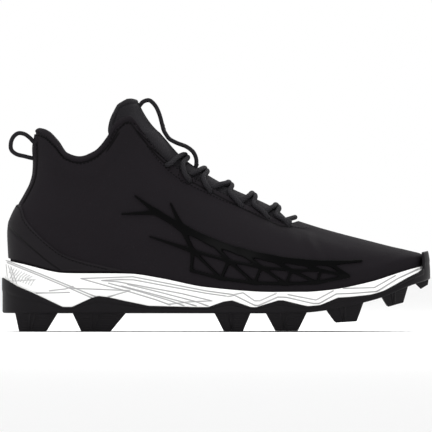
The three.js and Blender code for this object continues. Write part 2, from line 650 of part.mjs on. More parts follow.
function makeTongue() {
  const rows = tongueRows.map((row) => [...tongueSide(row, -1).reverse(), ...tongueSide(row, 1).slice(1)]);
  const normalAt = (i, j) => {
    const [low, high] = [rows[Math.max(i - 1, 0)][j], rows[Math.min(i + 1, rows.length - 1)][j]];
    const [left, right] = [rows[i][Math.max(j - 1, 0)], rows[i][Math.min(j + 1, rows[i].length - 1)]];
    return right.clone().sub(left).cross(high.clone().sub(low)).normalize();
  };
  const skin = new Skin();
  const outside = rows.map((row) => skin.row(row));
  const inside = rows.map((row, i) =>
    skin.row(row.map((point, j) => point.clone().addScaledVector(normalAt(i, j), -TONGUE_THICKNESS))),
  );
  const last = rows.length - 1;
  for (let i = 0; i < last; i += 1) {
    skin.strip(outside[i], outside[i + 1], false);
    skin.stripBack(inside[i], inside[i + 1], false);
    const end = outside[i].length - 1;
    skin.quad(outside[i][0], outside[i + 1][0], inside[i + 1][0], inside[i][0]);
    skin.quad(outside[i + 1][end], outside[i][end], inside[i][end], inside[i + 1][end]);
  }
  skin.strip(inside[0], outside[0], false);
  skin.strip(outside[last], inside[last], false);
  const made = skin.geometry();
  if (solidOf(made).volume() < 0) {
    skin.index.reverse();
    return skin.geometry();
  }
  return made;
}

// A point of the tongue's outer face over the throat: along picks the place beside the throat,
// across runs from the lateral throat edge (-1) over the crest (0) to the medial one (1)
function tonguePoint(along, across, lift) {
  const place = (where, over) => {
    const upwards = tongueRows.findIndex((row) => row.mid[0] <= where);
    const [a, b] = [tongueRows[Math.max(upwards - 1, 0)], tongueRows[Math.max(upwards, 1)]];
    const share = clamp((where - a.mid[0]) / (b.mid[0] - a.mid[0]), 0, 1);
    const side = over < 0 ? -1 : 1;
    const angle = (Math.abs(over) * Math.PI) / 2;
    const section = (row) => {
      const { crest, mid } = tongueFrame(row, side);
      const point = mid.clone().lerp(crest, Math.cos(angle));
      point.y = between(crest.y, mid.y, Math.sin(angle));
      return point;
    };
    return section(a).lerp(section(b), share);
  };
  const step = 0.02;
  const sideways = place(along, across + step).sub(place(along, across - step));
  const lengthways = place(along - step, across).sub(place(along + step, across));
  return place(along, across).addScaledVector(sideways.cross(lengthways).normalize(), lift);
}

// Laces: a bar at the throat's end and a crossing above each pair of eyelets, as cords joined where they cross
const crossingRows = [
  { crest: 0.875, over: 0.62 },
  { crest: 0.785, over: 0.62 },
  { crest: 0.69, over: 0.62 },
  { crest: 0.605, over: 0.62 },
  { crest: 0.508, over: 0.35 },
]; // where each crossing lies along the throat, and how far its upper cord is lifted, as a share of the diameter
const BAR_CREST = 0.96;
const LACE_SPREAD = 0.0135; // half the distance between two cords at one eyelet, as a share along the throat
const LACE_SLACK = 1; // clearance under a cord, over the gap
function cordAlong(points) {
  const half = LACE_DIAMETER / 2;
  const section = new THREE.Shape(
    Array.from({ length: LACE_SIDES }, (_, i) => {
      const angle = (2 * Math.PI * i) / LACE_SIDES;
      return new THREE.Vector2(half * Math.cos(angle), half * Math.sin(angle));
    }),
  );
  const path = new THREE.CatmullRomCurve3(points);
  return new THREE.ExtrudeGeometry(section, { steps: LACE_STEPS, bevelEnabled: false, extrudePath: path });
}
function laceBar(from, to, crestAlong, fromSide, lift) {
  const clear = LACE_DIAMETER / 2 + GAP + LACE_SLACK;
  const half = (end, side) => {
    const turn = (along) => (side < 0 ? turnOf(along) : 2 - turnOf(along));
    const beside = between(end.along, crestAlong, 0.3);
    return [
      shellPoint(turn(end.along), end.up, clear),
      shellPoint(turn(beside), 0.999, clear + LACE_SLACK / 2),
      tonguePoint(between(end.along, crestAlong, 0.65), 0.5 * side, clear + LACE_SLACK / 2 + lift / 2),
    ];
  };
  const crest = tonguePoint(crestAlong, 0, clear + lift);
  return cordAlong([...half(from, fromSide), crest, ...half(to, -fromSide).reverse()]);
}
const spreadEnd = (row, way) => ({ along: row.along + way * LACE_SPREAD, up: row.up });
function makeLaceBar() {
  const end = spreadEnd(eyeletRows[0], 1);
  return laceBar(end, end, BAR_CREST, -1, 0);
}
function makeCrossing(index) {
  const { crest, over } = crossingRows[index];
  const [low, high] = [spreadEnd(eyeletRows[index], -1), spreadEnd(eyeletRows[index + 1], 1)];
  const under = solidOf(laceBar(low, high, crest, -1, 0));
  const above = solidOf(laceBar(low, high, crest, 1, over * LACE_DIAMETER));
  return geometryOf(under.add(above));
}

// Tapes: a flat strip bent along a path in the side view and extruded across the shoe
function tape(path, thickness, width, centreY) {
  const curve = new THREE.SplineCurve(path.map(([x, z]) => new THREE.Vector2(x, z)));
  const count = 2 * (path.length - 1);
  const edge = (side) =>
    Array.from({ length: count + 1 }, (_, i) => {
      const at = curve.getPoint(i / count);
      const along = curve.getTangent(i / count);
      return new THREE.Vector2(at.x - along.y * side * 0.5 * thickness, at.y + along.x * side * 0.5 * thickness);
    });
  const shape = new THREE.Shape([...edge(1), ...edge(-1).reverse()]);
  const made = new THREE.ExtrudeGeometry(shape, { depth: width, bevelEnabled: false });
  return made.rotateX(Math.PI / 2).translate(0, centreY + width / 2, 0);
}
// Path of the tongue's pull loop and, below its waist, of the lace keeper, in the tongue's own measures
const strapRows = [
  { x: 0.3308, rise: 0.9568 },
  { x: 0.3331, rise: 0.9716 },
  { x: 0.3403, rise: 0.98 },
  { x: 0.3492, rise: 0.9716 },
  { x: 0.3594, rise: 0.944 },
  { x: 0.3669, rise: 0.9059 },
  { x: 0.372, rise: 0.8646 },
  { x: 0.3767, rise: 0.8233 },
  { x: 0.3821, rise: 0.8 },
  { x: 0.3912, rise: 0.774 },
  { x: 0.4086, rise: 0.7529 },
  { x: 0.4301, rise: 0.7338 },
  { x: 0.4455, rise: 0.7063 },
  { x: 0.4522, rise: 0.6718 },
  { x: 0.4515, rise: 0.6507 },
];
function makeTongueStrap() {
  const path = strapRows.map((row) => [row.x * SHOE_LENGTH, SEAT + TONGUE_RISE * row.rise]);
  return tape(path, TAPE_THICKNESS, TAPE_WIDTH, BALL_WIDTH * axisShare(0.35));
}
// Path of the heel loop: drops below the heel tab's top and distances behind the heel line, as shares
// of how far the loop reaches out
const heelLoopRows = [
  { drop: 0.58, back: 0.105 },
  { drop: 0.444, back: 0.21 },
  { drop: 0.284, back: 0.457 },
  { drop: 0.247, back: 0.728 },
  { drop: 0.407, back: 0.92 },
  { drop: 0.667, back: 1 },
  { drop: 0.951, back: 0.963 },
  { drop: 1.136, back: 0.741 },
  { drop: 1.228, back: 0.395 },
  { drop: 1.302, back: 0.105 },
];
function makeHeelLoop() {
  const path = heelLoopRows.map((row) => {
    const drop = HEEL_LOOP_REACH * row.drop;
    const up = 1 - drop / (HEEL_TAB_RISE + SEAT - rimHeight(0));
    return [heelX(up) * SHOE_LENGTH - HEEL_LOOP_REACH * row.back, SEAT + HEEL_TAB_RISE - drop];
  });
  return tape(path, TAPE_THICKNESS, HEEL_TAPE_WIDTH, 0);
}

// Skins on the upper, made from its own function
function skinPatch(turnsOfRow, rows, inside, outside) {
  const skin = new Skin();
  const face = (offset) => rows.map((up) => skin.row(turnsOfRow(up).map((turn) => shellPoint((turn + 2) % 2, up, offset))));
  const inner = face(inside);
  const outer = face(outside);
  const last = rows.length - 1;
  const end = inner[0].length - 1;
  for (let i = 0; i < last; i += 1) {
    skin.strip(outer[i], outer[i + 1], false);
    skin.stripBack(inner[i], inner[i + 1], false);
    skin.quad(outer[i][0], outer[i + 1][0], inner[i + 1][0], inner[i][0]);
    skin.quad(outer[i + 1][end], outer[i][end], inner[i][end], inner[i + 1][end]);
  }
  skin.strip(inner[0], outer[0], false);
  skin.strip(outer[last], inner[last], false);
  return skin.geometry();
}
const counterEdge = [
  { along: 0.008, up: 0.42 },
  { along: 0.04, up: 0.33 },
  { along: 0.077, up: 0.26 },
  { along: 0.11, up: 0.2 },
  { along: 0.145, up: 0.135 },
  { along: 0.19, up: 0.085 },
  { along: 0.27, up: 0.02 },
];
const COUNTER_FOOT = 0.02; // the skin starts this far up, clear of the midsole's rim
// A flat outline in the side view, extruded across the whole shoe
function sideCut(points) {
  const made = new THREE.ExtrudeGeometry(new THREE.Shape(points), { depth: 2 * BALL_WIDTH, bevelEnabled: false });
  return solidOf(made.rotateX(Math.PI / 2).translate(0, BALL_WIDTH, 0));
}
const sidePlace = (along, up) => {
  const point = lastPoint(turnOf(along), up);
  return new THREE.Vector2(point.x, point.z);
};
function makeCounter() {
  const reach = Math.ceil(turnOf(counterEdge.at(-1).along) * SIDE_STEPS);
  const turns = Array.from({ length: 2 * reach + 1 }, (_, i) => (i - reach) / SIDE_STEPS);
  const rows = [COUNTER_FOOT, ...upperRows.filter((up) => up > 0 && up < counterEdge[0].up), counterEdge[0].up];
  const shell = solidOf(skinPatch(() => turns, rows, GAP, GAP + COUNTER_THICKNESS));
  const edge = counterEdge.map((row) => sidePlace(row.along, row.up));
  const foot = edge.at(-1);
  const outline = [...edge, new THREE.Vector2(foot.x, 0), new THREE.Vector2(-SHOE_LENGTH / 10, 0),
    new THREE.Vector2(-SHOE_LENGTH / 10, edge[0].y)];
  return geometryOf(shell.intersect(sideCut(outline.reverse())));
}

// The openwork overlay: struts between named knots, given along and up the lateral side
const knots = {
  tipHigh: [0.325, 0.5], tipRear: [0.29, 0.4], tipTop: [0.43, 0.55], tipLow: [0.36, 0.24],
  a0: [0.385, 0.42], a1: [0.455, 0.41], a2: [0.53, 0.37], a3: [0.6, 0.33], a4: [0.67, 0.3], a5: [0.74, 0.28],
  a6: [0.81, 0.25], a7: [0.885, 0.21],
  b1: [0.47, 0.25], b2: [0.555, 0.22], b3: [0.63, 0.19], b4: [0.7, 0.17], b5: [0.77, 0.165],
  c0: [0.44, 0.08], c1: [0.51, 0.06], c2: [0.59, 0.05], c3: [0.665, 0.05], c4: [0.74, 0.055], c5: [0.815, 0.075],
};
// Columns: the two knots, and the strut's width at each as a share of the widest
const strutRows = [
  ['tipHigh', 'a0', 0.17, 0.78], ['tipRear', 'a0', 0.17, 0.7], ['tipTop', 'a1', 0.17, 0.78], ['tipLow', 'b1', 0.17, 0.65],
  ['a0', 'a1', 0.78, 0.96], ['a1', 'a2', 0.96, 1], ['a2', 'a3', 1, 0.96], ['a3', 'a4', 0.96, 0.87], ['a4', 'a5', 0.87, 0.78],
  ['a5', 'a6', 0.78, 0.65], ['a6', 'a7', 0.65, 0.26], ['a1', 'b1', 0.65, 0.52], ['b1', 'c0', 0.52, 0.35], ['b1', 'b2', 0.43, 0.43],
  ['b1', 'c1', 0.43, 0.35], ['a2', 'b2', 0.61, 0.48], ['b2', 'c1', 0.48, 0.35], ['b2', 'b3', 0.39, 0.39], ['b2', 'c2', 0.48, 0.35],
  ['a3', 'b3', 0.61, 0.48], ['b3', 'c2', 0.39, 0.35], ['b3', 'c3', 0.48, 0.35], ['a4', 'b4', 0.57, 0.43], ['b3', 'b4', 0.35, 0.35],
  ['b4', 'c3', 0.39, 0.35], ['b4', 'c4', 0.43, 0.35], ['a5', 'b5', 0.52, 0.43], ['b4', 'b5', 0.35, 0.35], ['b5', 'c4', 0.35, 0.3],
  ['b5', 'c5', 0.43, 0.35], ['a6', 'c5', 0.52, 0.43], ['c0', 'c1', 0.39, 0.43], ['c1', 'c2', 0.43, 0.43], ['c2', 'c3', 0.43, 0.43],
  ['c3', 'c4', 0.43, 0.43], ['c4', 'c5', 0.43, 0.43],
];
const STRUT_OVERRUN = 0.3; // a strut runs on past its knot by this share of its width
function makeWeb() {
  const firstTurn = Math.floor(turnOf(0.27) * SIDE_STEPS);
  const lastTurn = Math.ceil(turnOf(0.91) * SIDE_STEPS);
  const turns = ringTurns.slice(firstTurn, lastTurn + 1);
  const rows = upperRows.filter((up) => up <= 0.6);
  const shell = solidOf(skinPatch(() => turns, rows, GAP, GAP + WEB_THICKNESS));
  const placed = Object.fromEntries(Object.entries(knots).map(([name, place]) => [name, sidePlace(...place)]));
  const prisms = strutRows.map(([from, to, fromShare, toShare]) => {
    const [fromWidth, toWidth] = [STRUT_WIDTH * fromShare, STRUT_WIDTH * toShare];
    const [a, b] = [placed[from], placed[to]];
    const along = b.clone().sub(a).normalize();
    const across = new THREE.Vector2(-along.y, along.x);
    const at = (point, width, forward) =>
      point.clone().addScaledVector(across, width / 2).addScaledVector(along, forward);
    const reach = [STRUT_OVERRUN * fromWidth, STRUT_OVERRUN * toWidth];
    const outline = [
      at(a, fromWidth, -reach[0]),
      at(a, -fromWidth, -reach[0]),
      at(b, -toWidth, reach[1]),
      at(b, toWidth, reach[1]),
    ];
    return sideCut(outline);
  });
  const net = prisms.reduce((sum, prism) => sum.add(prism));
  return geometryOf(net.intersect(shell));
}

function finished(name, geometry, colour, roughness) {
  const material = new THREE.MeshStandardMaterial({ color: colour, roughness, metalness: 0 });
  const mesh = new THREE.Mesh(geometry, material);
  mesh.name = name;
  return mesh;
}

const BLACK = 0x262428;
const GLOSS_BLACK = 0x050506;
const WHITE = 0xf4f4f2;
const shoe = new THREE.Group();
shoe.add(finished('plate', makePlate(), BLACK, 0.45));
shoe.add(finished('midsole', makeMidsole(), WHITE, 0.6));
shoe.add(finished('insole', makeInsole(), BLACK, 0.9));
shoe.add(finished('upper', makeUpper(), BLACK, 0.7));
shoe.add(finished('tongue', makeTongue(), BLACK, 0.8));
shoe.add(finished('tongue_strap', makeTongueStrap(), BLACK, 0.75));
shoe.add(finished('heel_pull_loop', makeHeelLoop(), BLACK, 0.75));
shoe.add(finished('heel_counter', makeCounter(), BLACK, 0.55));
shoe.add(finished('web_overlay', makeWeb(), GLOSS_BLACK, 0.15));
shoe.add(finished('lace_bar', makeLaceBar(), BLACK, 0.85));
crossingRows.forEach((_, i) => {
  shoe.add(finished(`lace_crossing_${i + 1}`, makeCrossing(i), BLACK, 0.85));
});

const part = new THREE.Group();
part.add(shoe);
const bounds = new THREE.Box3().setFromObject(shoe, true);
shoe.position.set(-(bounds.min.x + bounds.max.x) / 2, -(bounds.min.y + bounds.max.y) / 2, -bounds.min.z);
export default part;
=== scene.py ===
# %% [markdown]
# # A lacrosse cleat, dressed from its CAD solids
#
# The frame holds the solids that physics uses. Here each of them gets the surface that a maker would give
# it: seams, stitches, grooves, padding, laces and the finish of every material. Nothing changes size.

import json
import math

import bmesh
import bpy
import numpy as np
from mathutils import Matrix, Vector
from mathutils.kdtree import KDTree

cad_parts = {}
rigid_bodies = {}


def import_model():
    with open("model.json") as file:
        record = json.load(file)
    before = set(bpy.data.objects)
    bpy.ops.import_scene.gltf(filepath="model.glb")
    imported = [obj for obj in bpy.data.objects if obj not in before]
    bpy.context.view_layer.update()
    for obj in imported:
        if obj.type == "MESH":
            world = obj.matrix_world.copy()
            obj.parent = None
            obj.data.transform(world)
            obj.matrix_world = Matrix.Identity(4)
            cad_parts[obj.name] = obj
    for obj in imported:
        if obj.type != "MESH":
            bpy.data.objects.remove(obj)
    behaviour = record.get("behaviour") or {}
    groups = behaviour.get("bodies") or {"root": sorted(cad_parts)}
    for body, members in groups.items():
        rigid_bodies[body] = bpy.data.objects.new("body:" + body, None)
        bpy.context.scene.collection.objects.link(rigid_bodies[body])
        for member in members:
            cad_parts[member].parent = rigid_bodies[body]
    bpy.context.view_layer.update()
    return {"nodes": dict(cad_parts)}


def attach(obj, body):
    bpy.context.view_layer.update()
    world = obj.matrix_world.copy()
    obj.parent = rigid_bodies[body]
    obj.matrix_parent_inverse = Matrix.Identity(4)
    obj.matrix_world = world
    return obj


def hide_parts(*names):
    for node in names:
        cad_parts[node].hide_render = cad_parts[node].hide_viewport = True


for leftover in list(bpy.data.objects):
    bpy.data.objects.remove(leftover)
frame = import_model()
print("nodes in the frame:", sorted(frame["nodes"]))

# %% [markdown]
# ## Curves through small tables
#
# A last is described by a few lines: the heel's profile, the instep, the top edge, the plan. Each line is a
# short table, and a smooth curve runs through its rows. A spline that overshoots would make bumps between
# the rows, so the slopes are limited where the table turns round.


# %% A curve and a polyline through a table
def curve_through(xs, ys):
    xs, ys = np.array(xs, float), np.array(ys, float)
    steep = np.diff(ys) / np.diff(xs)
    slope = np.zeros_like(xs)
    slope[0], slope[-1] = steep[0], steep[-1]
    product = steep[:-1] * steep[1:]
    total = steep[:-1] + steep[1:]
    safe = np.where(product > 0, total, 1.0)
    slope[1:-1] = np.where(product > 0, 2 * product / safe, 0.0)

    def at(where):
        where = np.asarray(where, float)
        inside = np.clip(where, xs[0], xs[-1])
        i = np.clip(np.searchsorted(xs, inside, side="left") - 1, 0, len(xs) - 2)
        width = xs[i + 1] - xs[i]
        t = (inside - xs[i]) / width
        past = where - inside
        end = np.where(past < 0, slope[0], slope[-1])
        return (
            (1 + 2 * t) * (1 - t) ** 2 * ys[i]
            + t * (1 - t) ** 2 * width * slope[i]
            + t * t * (3 - 2 * t) * ys[i + 1]
            + t * t * (t - 1) * width * slope[i + 1]
            + past * end
        )

    return at


def smooth(low, high, v):
    share = np.clip((np.asarray(v, float) - low) / (high - low), 0, 1)
    return share * share * (3 - 2 * share)


def between(a, b, share):
    return a + (b - a) * share


# %% [markdown]
# ## The last
#
# These are the sizes that the solids were made from, in millimetres from the heel. They are repeated here
# because a dressed surface needs far more points than a solid for physics does, and both have to agree.

# %% Sizes and lines of the last
LENGTH = 296.0
BALL, HEEL, COLLAR, THROAT = 97.0, 62.0, 67.0, 37.0  # widths; the last is between the eyestay's edges
BULGE = 2.6  # how far the side walls swell
HEEL_TAB, COLLAR_LOW, FLAP, THROAT_END, TONGUE_TOP = 108.9, 88.8, 117.0, 44.7, 130.3  # above the seat
STUD, SPRING, PLATE, EDGE_RISE, BUMPER = 12.8, 23.5, 3.8, 10.0, 20.0  # heights of the plate's parts
MIDSOLE, RIM_DEPTH, FLARE, RIM, HEEL_RIM = 15.0, 6.0, 4.2, 1.6, 1.5  # the foam cup and its rim
WRAP, GAP, RIM_CLEAR, TUCK = 1.4, 0.3, 0.45, 0.6  # the plate's edge, and what lies between the pieces
WALL, PADDING, EYESTAY = 2.0, 3.6, 0.8  # the upper, and what its collar and eyestay add

SOLE_ALONG = [0, 0.05, 0.15, 0.3, 0.37, 0.475, 0.59, 0.7, 0.77, 0.845, 0.88, 0.95, 1]
spring_at = curve_through(SOLE_ALONG, [0, 0, 0, 0, 0, 0, 0, 0.02, 0.13, 0.345, 0.48, 0.85, 1.05])
midsole_at = curve_through(
    SOLE_ALONG, [1.13, 1.07, 1, 0.93, 0.82, 0.58, 0.41, 0.3, 0.22, 0.17, 0.15, 0.13, 0.12]
)
rim_at = curve_through(
    SOLE_ALONG, [2.8, 2.35, 1.42, 1.52, 1.3, 0.88, 0.8, 0.95, 1, 1.02, 1.03, 0.75, 0.6]
)
heel_x = curve_through(
    [0, 0.138, 0.2, 0.27, 0.323, 0.4, 0.5, 0.585, 0.662, 0.87, 1],
    [0.0199, 0.0176, 0.017, 0.0186, 0.0243, 0.0361, 0.0537, 0.0666, 0.0723, 0.0753, 0.0794],
)
INSTEP_UP = [0, 0.041, 0.085, 0.166, 0.298, 0.475, 0.651, 0.829, 1]
instep_x = curve_through(INSTEP_UP, [0.98, 0.983, 0.98, 0.951, 0.909, 0.853, 0.797, 0.741, 0.688])
instep_rise = curve_through(INSTEP_UP, [0, 0.13, 0.24, 0.328, 0.42, 0.556, 0.692, 0.84, 1])


def to_heel(share):
    return between(COLLAR_LOW, HEEL_TAB, share)


def to_flap(share):
    return between(COLLAR_LOW, FLAP, share)


def to_throat(share):
    return between(THROAT_END, FLAP, share)


TOP_ROWS = [  # along, x, rise
    (0, 0.0794, HEEL_TAB), (0.04, 0.0946, to_heel(0.94)), (0.09, 0.1213, to_heel(0.6)),
    (0.135, 0.147, to_heel(0.15)), (0.182, 0.1818, COLLAR_LOW), (0.225, 0.2169, to_flap(0.13)),
    (0.265, 0.2449, to_flap(0.46)), (0.309, 0.267, to_flap(0.85)), (0.355, 0.2983, FLAP),
    (0.4, 0.3264, to_throat(0.87)), (0.45, 0.356, to_throat(0.7)), (0.5, 0.3963, to_throat(0.545)),
    (0.6, 0.4628, to_throat(0.38)), (0.7, 0.5304, to_throat(0.235)), (0.8, 0.5966, to_throat(0.1)),
    (0.88, 0.6385, to_throat(0.018)), (0.95, 0.669, to_throat(-0.02)), (1, 0.688, THROAT_END),
]
top_x = curve_through([r[0] for r in TOP_ROWS], [r[1] for r in TOP_ROWS])
top_rise = curve_through([r[0] for r in TOP_ROWS], [r[2] for r in TOP_ROWS])
PLAN_ALONG = [0, 0.15, 0.25, 0.35, 0.45, 0.55, 0.65, 0.72, 0.82, 0.92, 1]
axis_share = curve_through(PLAN_ALONG, [0, 0, 0, -0.003, -0.006, 0, 0.008, 0.018, 0.042, 0.072, 0.094])
lateral_share = curve_through(
    PLAN_ALONG, [0.5, 0.5, 0.508, 0.474, 0.453, 0.475, 0.503, 0.505, 0.475, 0.445, 0.43]
)
medial_share = curve_through(
    PLAN_ALONG, [0.5, 0.5, 0.476, 0.393, 0.352, 0.383, 0.445, 0.485, 0.485, 0.455, 0.43]
)
throat_share = curve_through(
    [0.2, 0.245, 0.298, 0.345, 0.396, 0.476, 0.6], [0, 0.1, 0.27, 0.48, 0.7, 0.87, 1]
)

# %% [markdown]
# ## Points on the shoe
#
# A place on the upper has two numbers: turn goes round from the heel (0) by the outer side to the toe (1)
# and back by the inner side (2), and up goes from the feather line (0) to the top edge (1).
# `skin_point` gives the place on the surface, moved outwards where asked. `sole_point` does the same beside
# the feather line, for the sole's parts.

# %% Surface of the last
HEEL_ROUND, COLLAR_ROUND, TOE_ROUND, THROAT_ROUND = 0.128, 0.1, 0.29, 0.05
HEEL_POWER, TOE_POWER = 2.1, 2.3
BELOW_TOP = 0.92  # past the top edge the surface goes on as it rises from here
NEAR = 0.004  # a step round or up the shoe that is small enough to read a slope from
NUDGE = 1e-3  # a finer one
SHIFT = np.array([-147.985, -0.403, 0.0])  # from the heel's back to the frame's origin


def along_of(turn):
    turn = np.asarray(turn, float)
    return 0.5 * (1 - np.cos(np.pi * np.where(turn <= 1, turn, 2 - turn)))


def turn_of(along):
    return np.arccos(np.clip(1 - 2 * np.asarray(along, float), -1, 1)) / np.pi


def underside(x):
    return STUD + SPRING * spring_at(x / LENGTH)


def plate_top(x):
    return underside(x) + PLATE


def footbed(x):
    return plate_top(x) + GAP + MIDSOLE * midsole_at(x / LENGTH)


def rim_height(x):
    return footbed(x) + RIM_DEPTH * rim_at(x / LENGTH)


SEAT = float(footbed(0.15 * LENGTH))


def round_end(share, power):
    return np.maximum(1 - np.clip(1 - share, 0, 1) ** power, 0) ** (1 / power)


def last_point(turn, up):
    """The bare surface: a blend of its four border lines, rounded at heel and toe."""
    turn, up = np.broadcast_arrays(np.asarray(turn, float), np.asarray(up, float))
    over = np.maximum(up - 1, 0)
    up = np.minimum(up, 1)
    if over.max() > 0:
        edge = last_point(turn, up)
        below = last_point(turn, np.where(over > 0, BELOW_TOP, up))
        return edge + (edge - below) * (over / (1 - BELOW_TOP))[..., None]
    lateral = turn <= 1
    along = along_of(turn)
    back, front = heel_x(up), instep_x(up)
    foot_0, foot_1 = float(heel_x(0)), float(instep_x(0))
    foot_x = between(foot_0, foot_1, along)
    top_0, top_1 = float(top_x(0)), float(top_x(1))
    x = (
        (1 - up) * foot_x + up * top_x(along) + (1 - along) * back + along * front
        - (1 - along) * ((1 - up) * foot_0 + up * top_0) - along * ((1 - up) * foot_1 + up * top_1)
    )
    toe_z, throat_z = float(rim_height(foot_1 * LENGTH)), SEAT + THROAT_END
    z = (
        (1 - up) * rim_height(foot_x * LENGTH) + up * (SEAT + top_rise(along))
        + along * between(toe_z, throat_z, instep_rise(up)) - along * between(toe_z, throat_z, up)
    )
    width = between(HEEL, BALL, smooth(0.25, 0.65, x))
    share = np.where(lateral, lateral_share(np.clip(x, 0, 1)), medial_share(np.clip(x, 0, 1)))
    foot = width * share
    top = between(COLLAR, THROAT, np.clip(throat_share(x), 0, 1)) / 2
    swell = BULGE * np.sin(np.pi * np.clip(up / 0.8, 0, 1))
    wall = top + (foot - top) * (1 - up * up) + swell
    heel_end = (x - back) / between(HEEL_ROUND, COLLAR_ROUND, up)
    toe_end = (front - x) / between(TOE_ROUND, THROAT_ROUND, up)
    half = wall * round_end(heel_end, HEEL_POWER) * round_end(toe_end, TOE_POWER)
    axis = BALL * axis_share(np.clip(x, 0, 1))
    return np.stack([x * LENGTH, axis + np.where(lateral, -half, half), z], -1)


def unit(v):
    return v / np.maximum(np.linalg.norm(v, axis=-1, keepdims=True), 1e-9)


def skin_normal(turn, up):
    turn, up = np.broadcast_arrays(np.asarray(turn, float), np.asarray(up, float))
    low = np.clip(up - NEAR, 0, 1 - 2 * NEAR)
    around = last_point((turn + NEAR) % 2, up) - last_point((turn - NEAR) % 2, up)
    rising = last_point(turn, low + 2 * NEAR) - last_point(turn, low)
    return unit(np.cross(around, rising))


def skin_point(turn, up, out=0.0):
    return last_point(turn, up) + skin_normal(turn, np.minimum(up, 1)) * np.asarray(out, float)[..., None]


def sole_point(turn, out, height):
    ring = last_point(turn, 0 * np.asarray(turn, float))
    around = last_point((turn + NEAR) % 2, 0 * turn) - last_point((turn - NEAR) % 2, 0 * turn)
    outward = unit(np.stack([around[..., 1], -around[..., 0], 0 * around[..., 0]], -1))
    point = ring + outward * np.asarray(out, float)[..., None]
    point[..., 2] = height
    return point


def to_row(points):
    """Millimetres from the heel's back to metres in the frame."""
    return (np.asarray(points, float) + SHIFT) / 1000


print("seat height above the floor: %.1f mm" % SEAT)

# %% [markdown]
# ## From a side view to the surface
#
# Seams and grooves are easiest to read off a side view, so they are written as lines of x and z from the
# heel and the floor. `on_side` looks up which place on the outer side of the upper lies behind such a point.


# %% Looking a side view up
side_turns = np.linspace(0.004, 0.996, 400)[:, None]
side_ups = np.linspace(0, 1, 260)[None, :]
side_table = last_point(side_turns + 0 * side_ups, side_ups + 0 * side_turns)


def on_side(x, z):
    """Turn and up of the outer side's point at x, z."""
    far = (side_table[..., 0] - x) ** 2 + (side_table[..., 2] - z) ** 2
    i, j = np.unravel_index(np.argmin(far), far.shape)
    turn, up = float(side_turns[i, 0]), float(side_ups[0, j])
    for _ in range(3):
        here = last_point(turn, up)
        dt = (last_point(min(turn + NUDGE, 1), up) - here) / NUDGE
        if up < 1 - NUDGE:
            du = (last_point(turn, min(up + NUDGE, 1)) - here) / NUDGE
        else:
            du = (here - last_point(turn, up - NUDGE)) / NUDGE
        matrix = np.array([[dt[0], du[0]], [dt[2], du[2]]])
        if abs(np.linalg.det(matrix)) < NUDGE:
            break
        step = np.linalg.solve(matrix, np.array([x - here[0], z - here[2]]))
        turn = float(np.clip(turn + step[0], NUDGE, 1 - NUDGE))
        up = float(np.clip(up + step[1], 0, 1))
    return turn, up


def line_distance(x, z, lines):
    """How far each x, z is from the nearest of some polylines."""
    best = np.full(np.shape(x), 1e9)
    for line in lines:
        for (ax, az), (bx, bz) in zip(line[:-1], line[1:]):
            dx, dz = bx - ax, bz - az
            share = np.clip(((x - ax) * dx + (z - az) * dz) / (dx * dx + dz * dz), 0, 1)
            best = np.minimum(best, np.hypot(x - ax - share * dx, z - az - share * dz))
    return best


# %% [markdown]
# ## Sheets bent onto the shoe
#
# Nearly every surface here starts as a flat grid. Each of its points has two shares, across and up, and a
# small function says where that point lies on the shoe. Edges of two grids that meet are welded, which
# gives closed shells without working out a single face by hand. The two shares stay as the UV map.


# %% A bent grid, and a finished piece
WELD = 2e-6  # points that are closer, in metres, become one


def bend_grid(bm, columns, rows, place, material=0):
    """A grid whose points lie where place(across, up) says."""
    uv_layer = bm.loops.layers.uv.verify()
    made = bmesh.ops.create_grid(bm, x_segments=columns, y_segments=rows, size=0.5)["verts"]
    flat = np.array([vert.co[:] for vert in made])
    flat[:, :2] += 0.5
    points = to_row(place(flat[:, 0], flat[:, 1]))
    share = {vert: (float(f[0]), float(f[1])) for vert, f in zip(made, flat)}
    for face in {f for vert in made for f in vert.link_faces}:
        face.material_index = material
        for loop in face.loops:
            loop[uv_layer].uv = share[loop.vert]
    for vert, point in zip(made, points):
        vert.co = point
    return made


def new_object(name, data):
    made = bpy.data.objects.new(name, data)
    bpy.context.scene.collection.objects.link(made)
    return made


def close_ends(bm):
    """Welds a mesh and fills the holes that stay open."""
    bmesh.ops.remove_doubles(bm, verts=bm.verts, dist=WELD)
    bmesh.ops.holes_fill(bm, edges=[edge for edge in bm.edges if edge.is_boundary], sides=0)


def finish_piece(name, bm, materials, replaces=(), sharp=80.0, weld=WELD):
    """Welds a mesh, gives it its finish, and hides the frame's nodes that it stands for."""
    bmesh.ops.remove_doubles(bm, verts=bm.verts, dist=weld)
    bmesh.ops.dissolve_degenerate(bm, edges=bm.edges, dist=1e-7)
    bmesh.ops.recalc_face_normals(bm, faces=bm.faces)
    for face in bm.faces:
        face.smooth = True
    mesh = bpy.data.meshes.new(name)
    bm.to_mesh(mesh)
    bm.free()
    mesh.set_sharp_from_angle(angle=math.radians(sharp))
    for material in materials:
        mesh.materials.append(material)
    piece = new_object(name, mesh)
    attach(piece, "root")
    if replaces:
        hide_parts(*replaces)
    print(name, len(mesh.polygons), "faces")
    return piece


PIXEL, HEEL_COLUMN, FLOOR_ROW = 0.69, 2, 331.5  # size of a dot of the side view, and where the shoe starts


def px(*points):
    """Points read off the side view, turned into millimetres from the heel and the floor."""
    return [((x - HEEL_COLUMN) * PIXEL, (FLOOR_ROW - y) * PIXEL) for x, y in points]


def points_of(mesh):
    """A mesh's points in millimetres from the heel's back."""
    places = np.empty(len(mesh.vertices) * 3, np.float32)
    mesh.vertices.foreach_get("co", places)
    return places.reshape(-1, 3) * 1000 - SHIFT


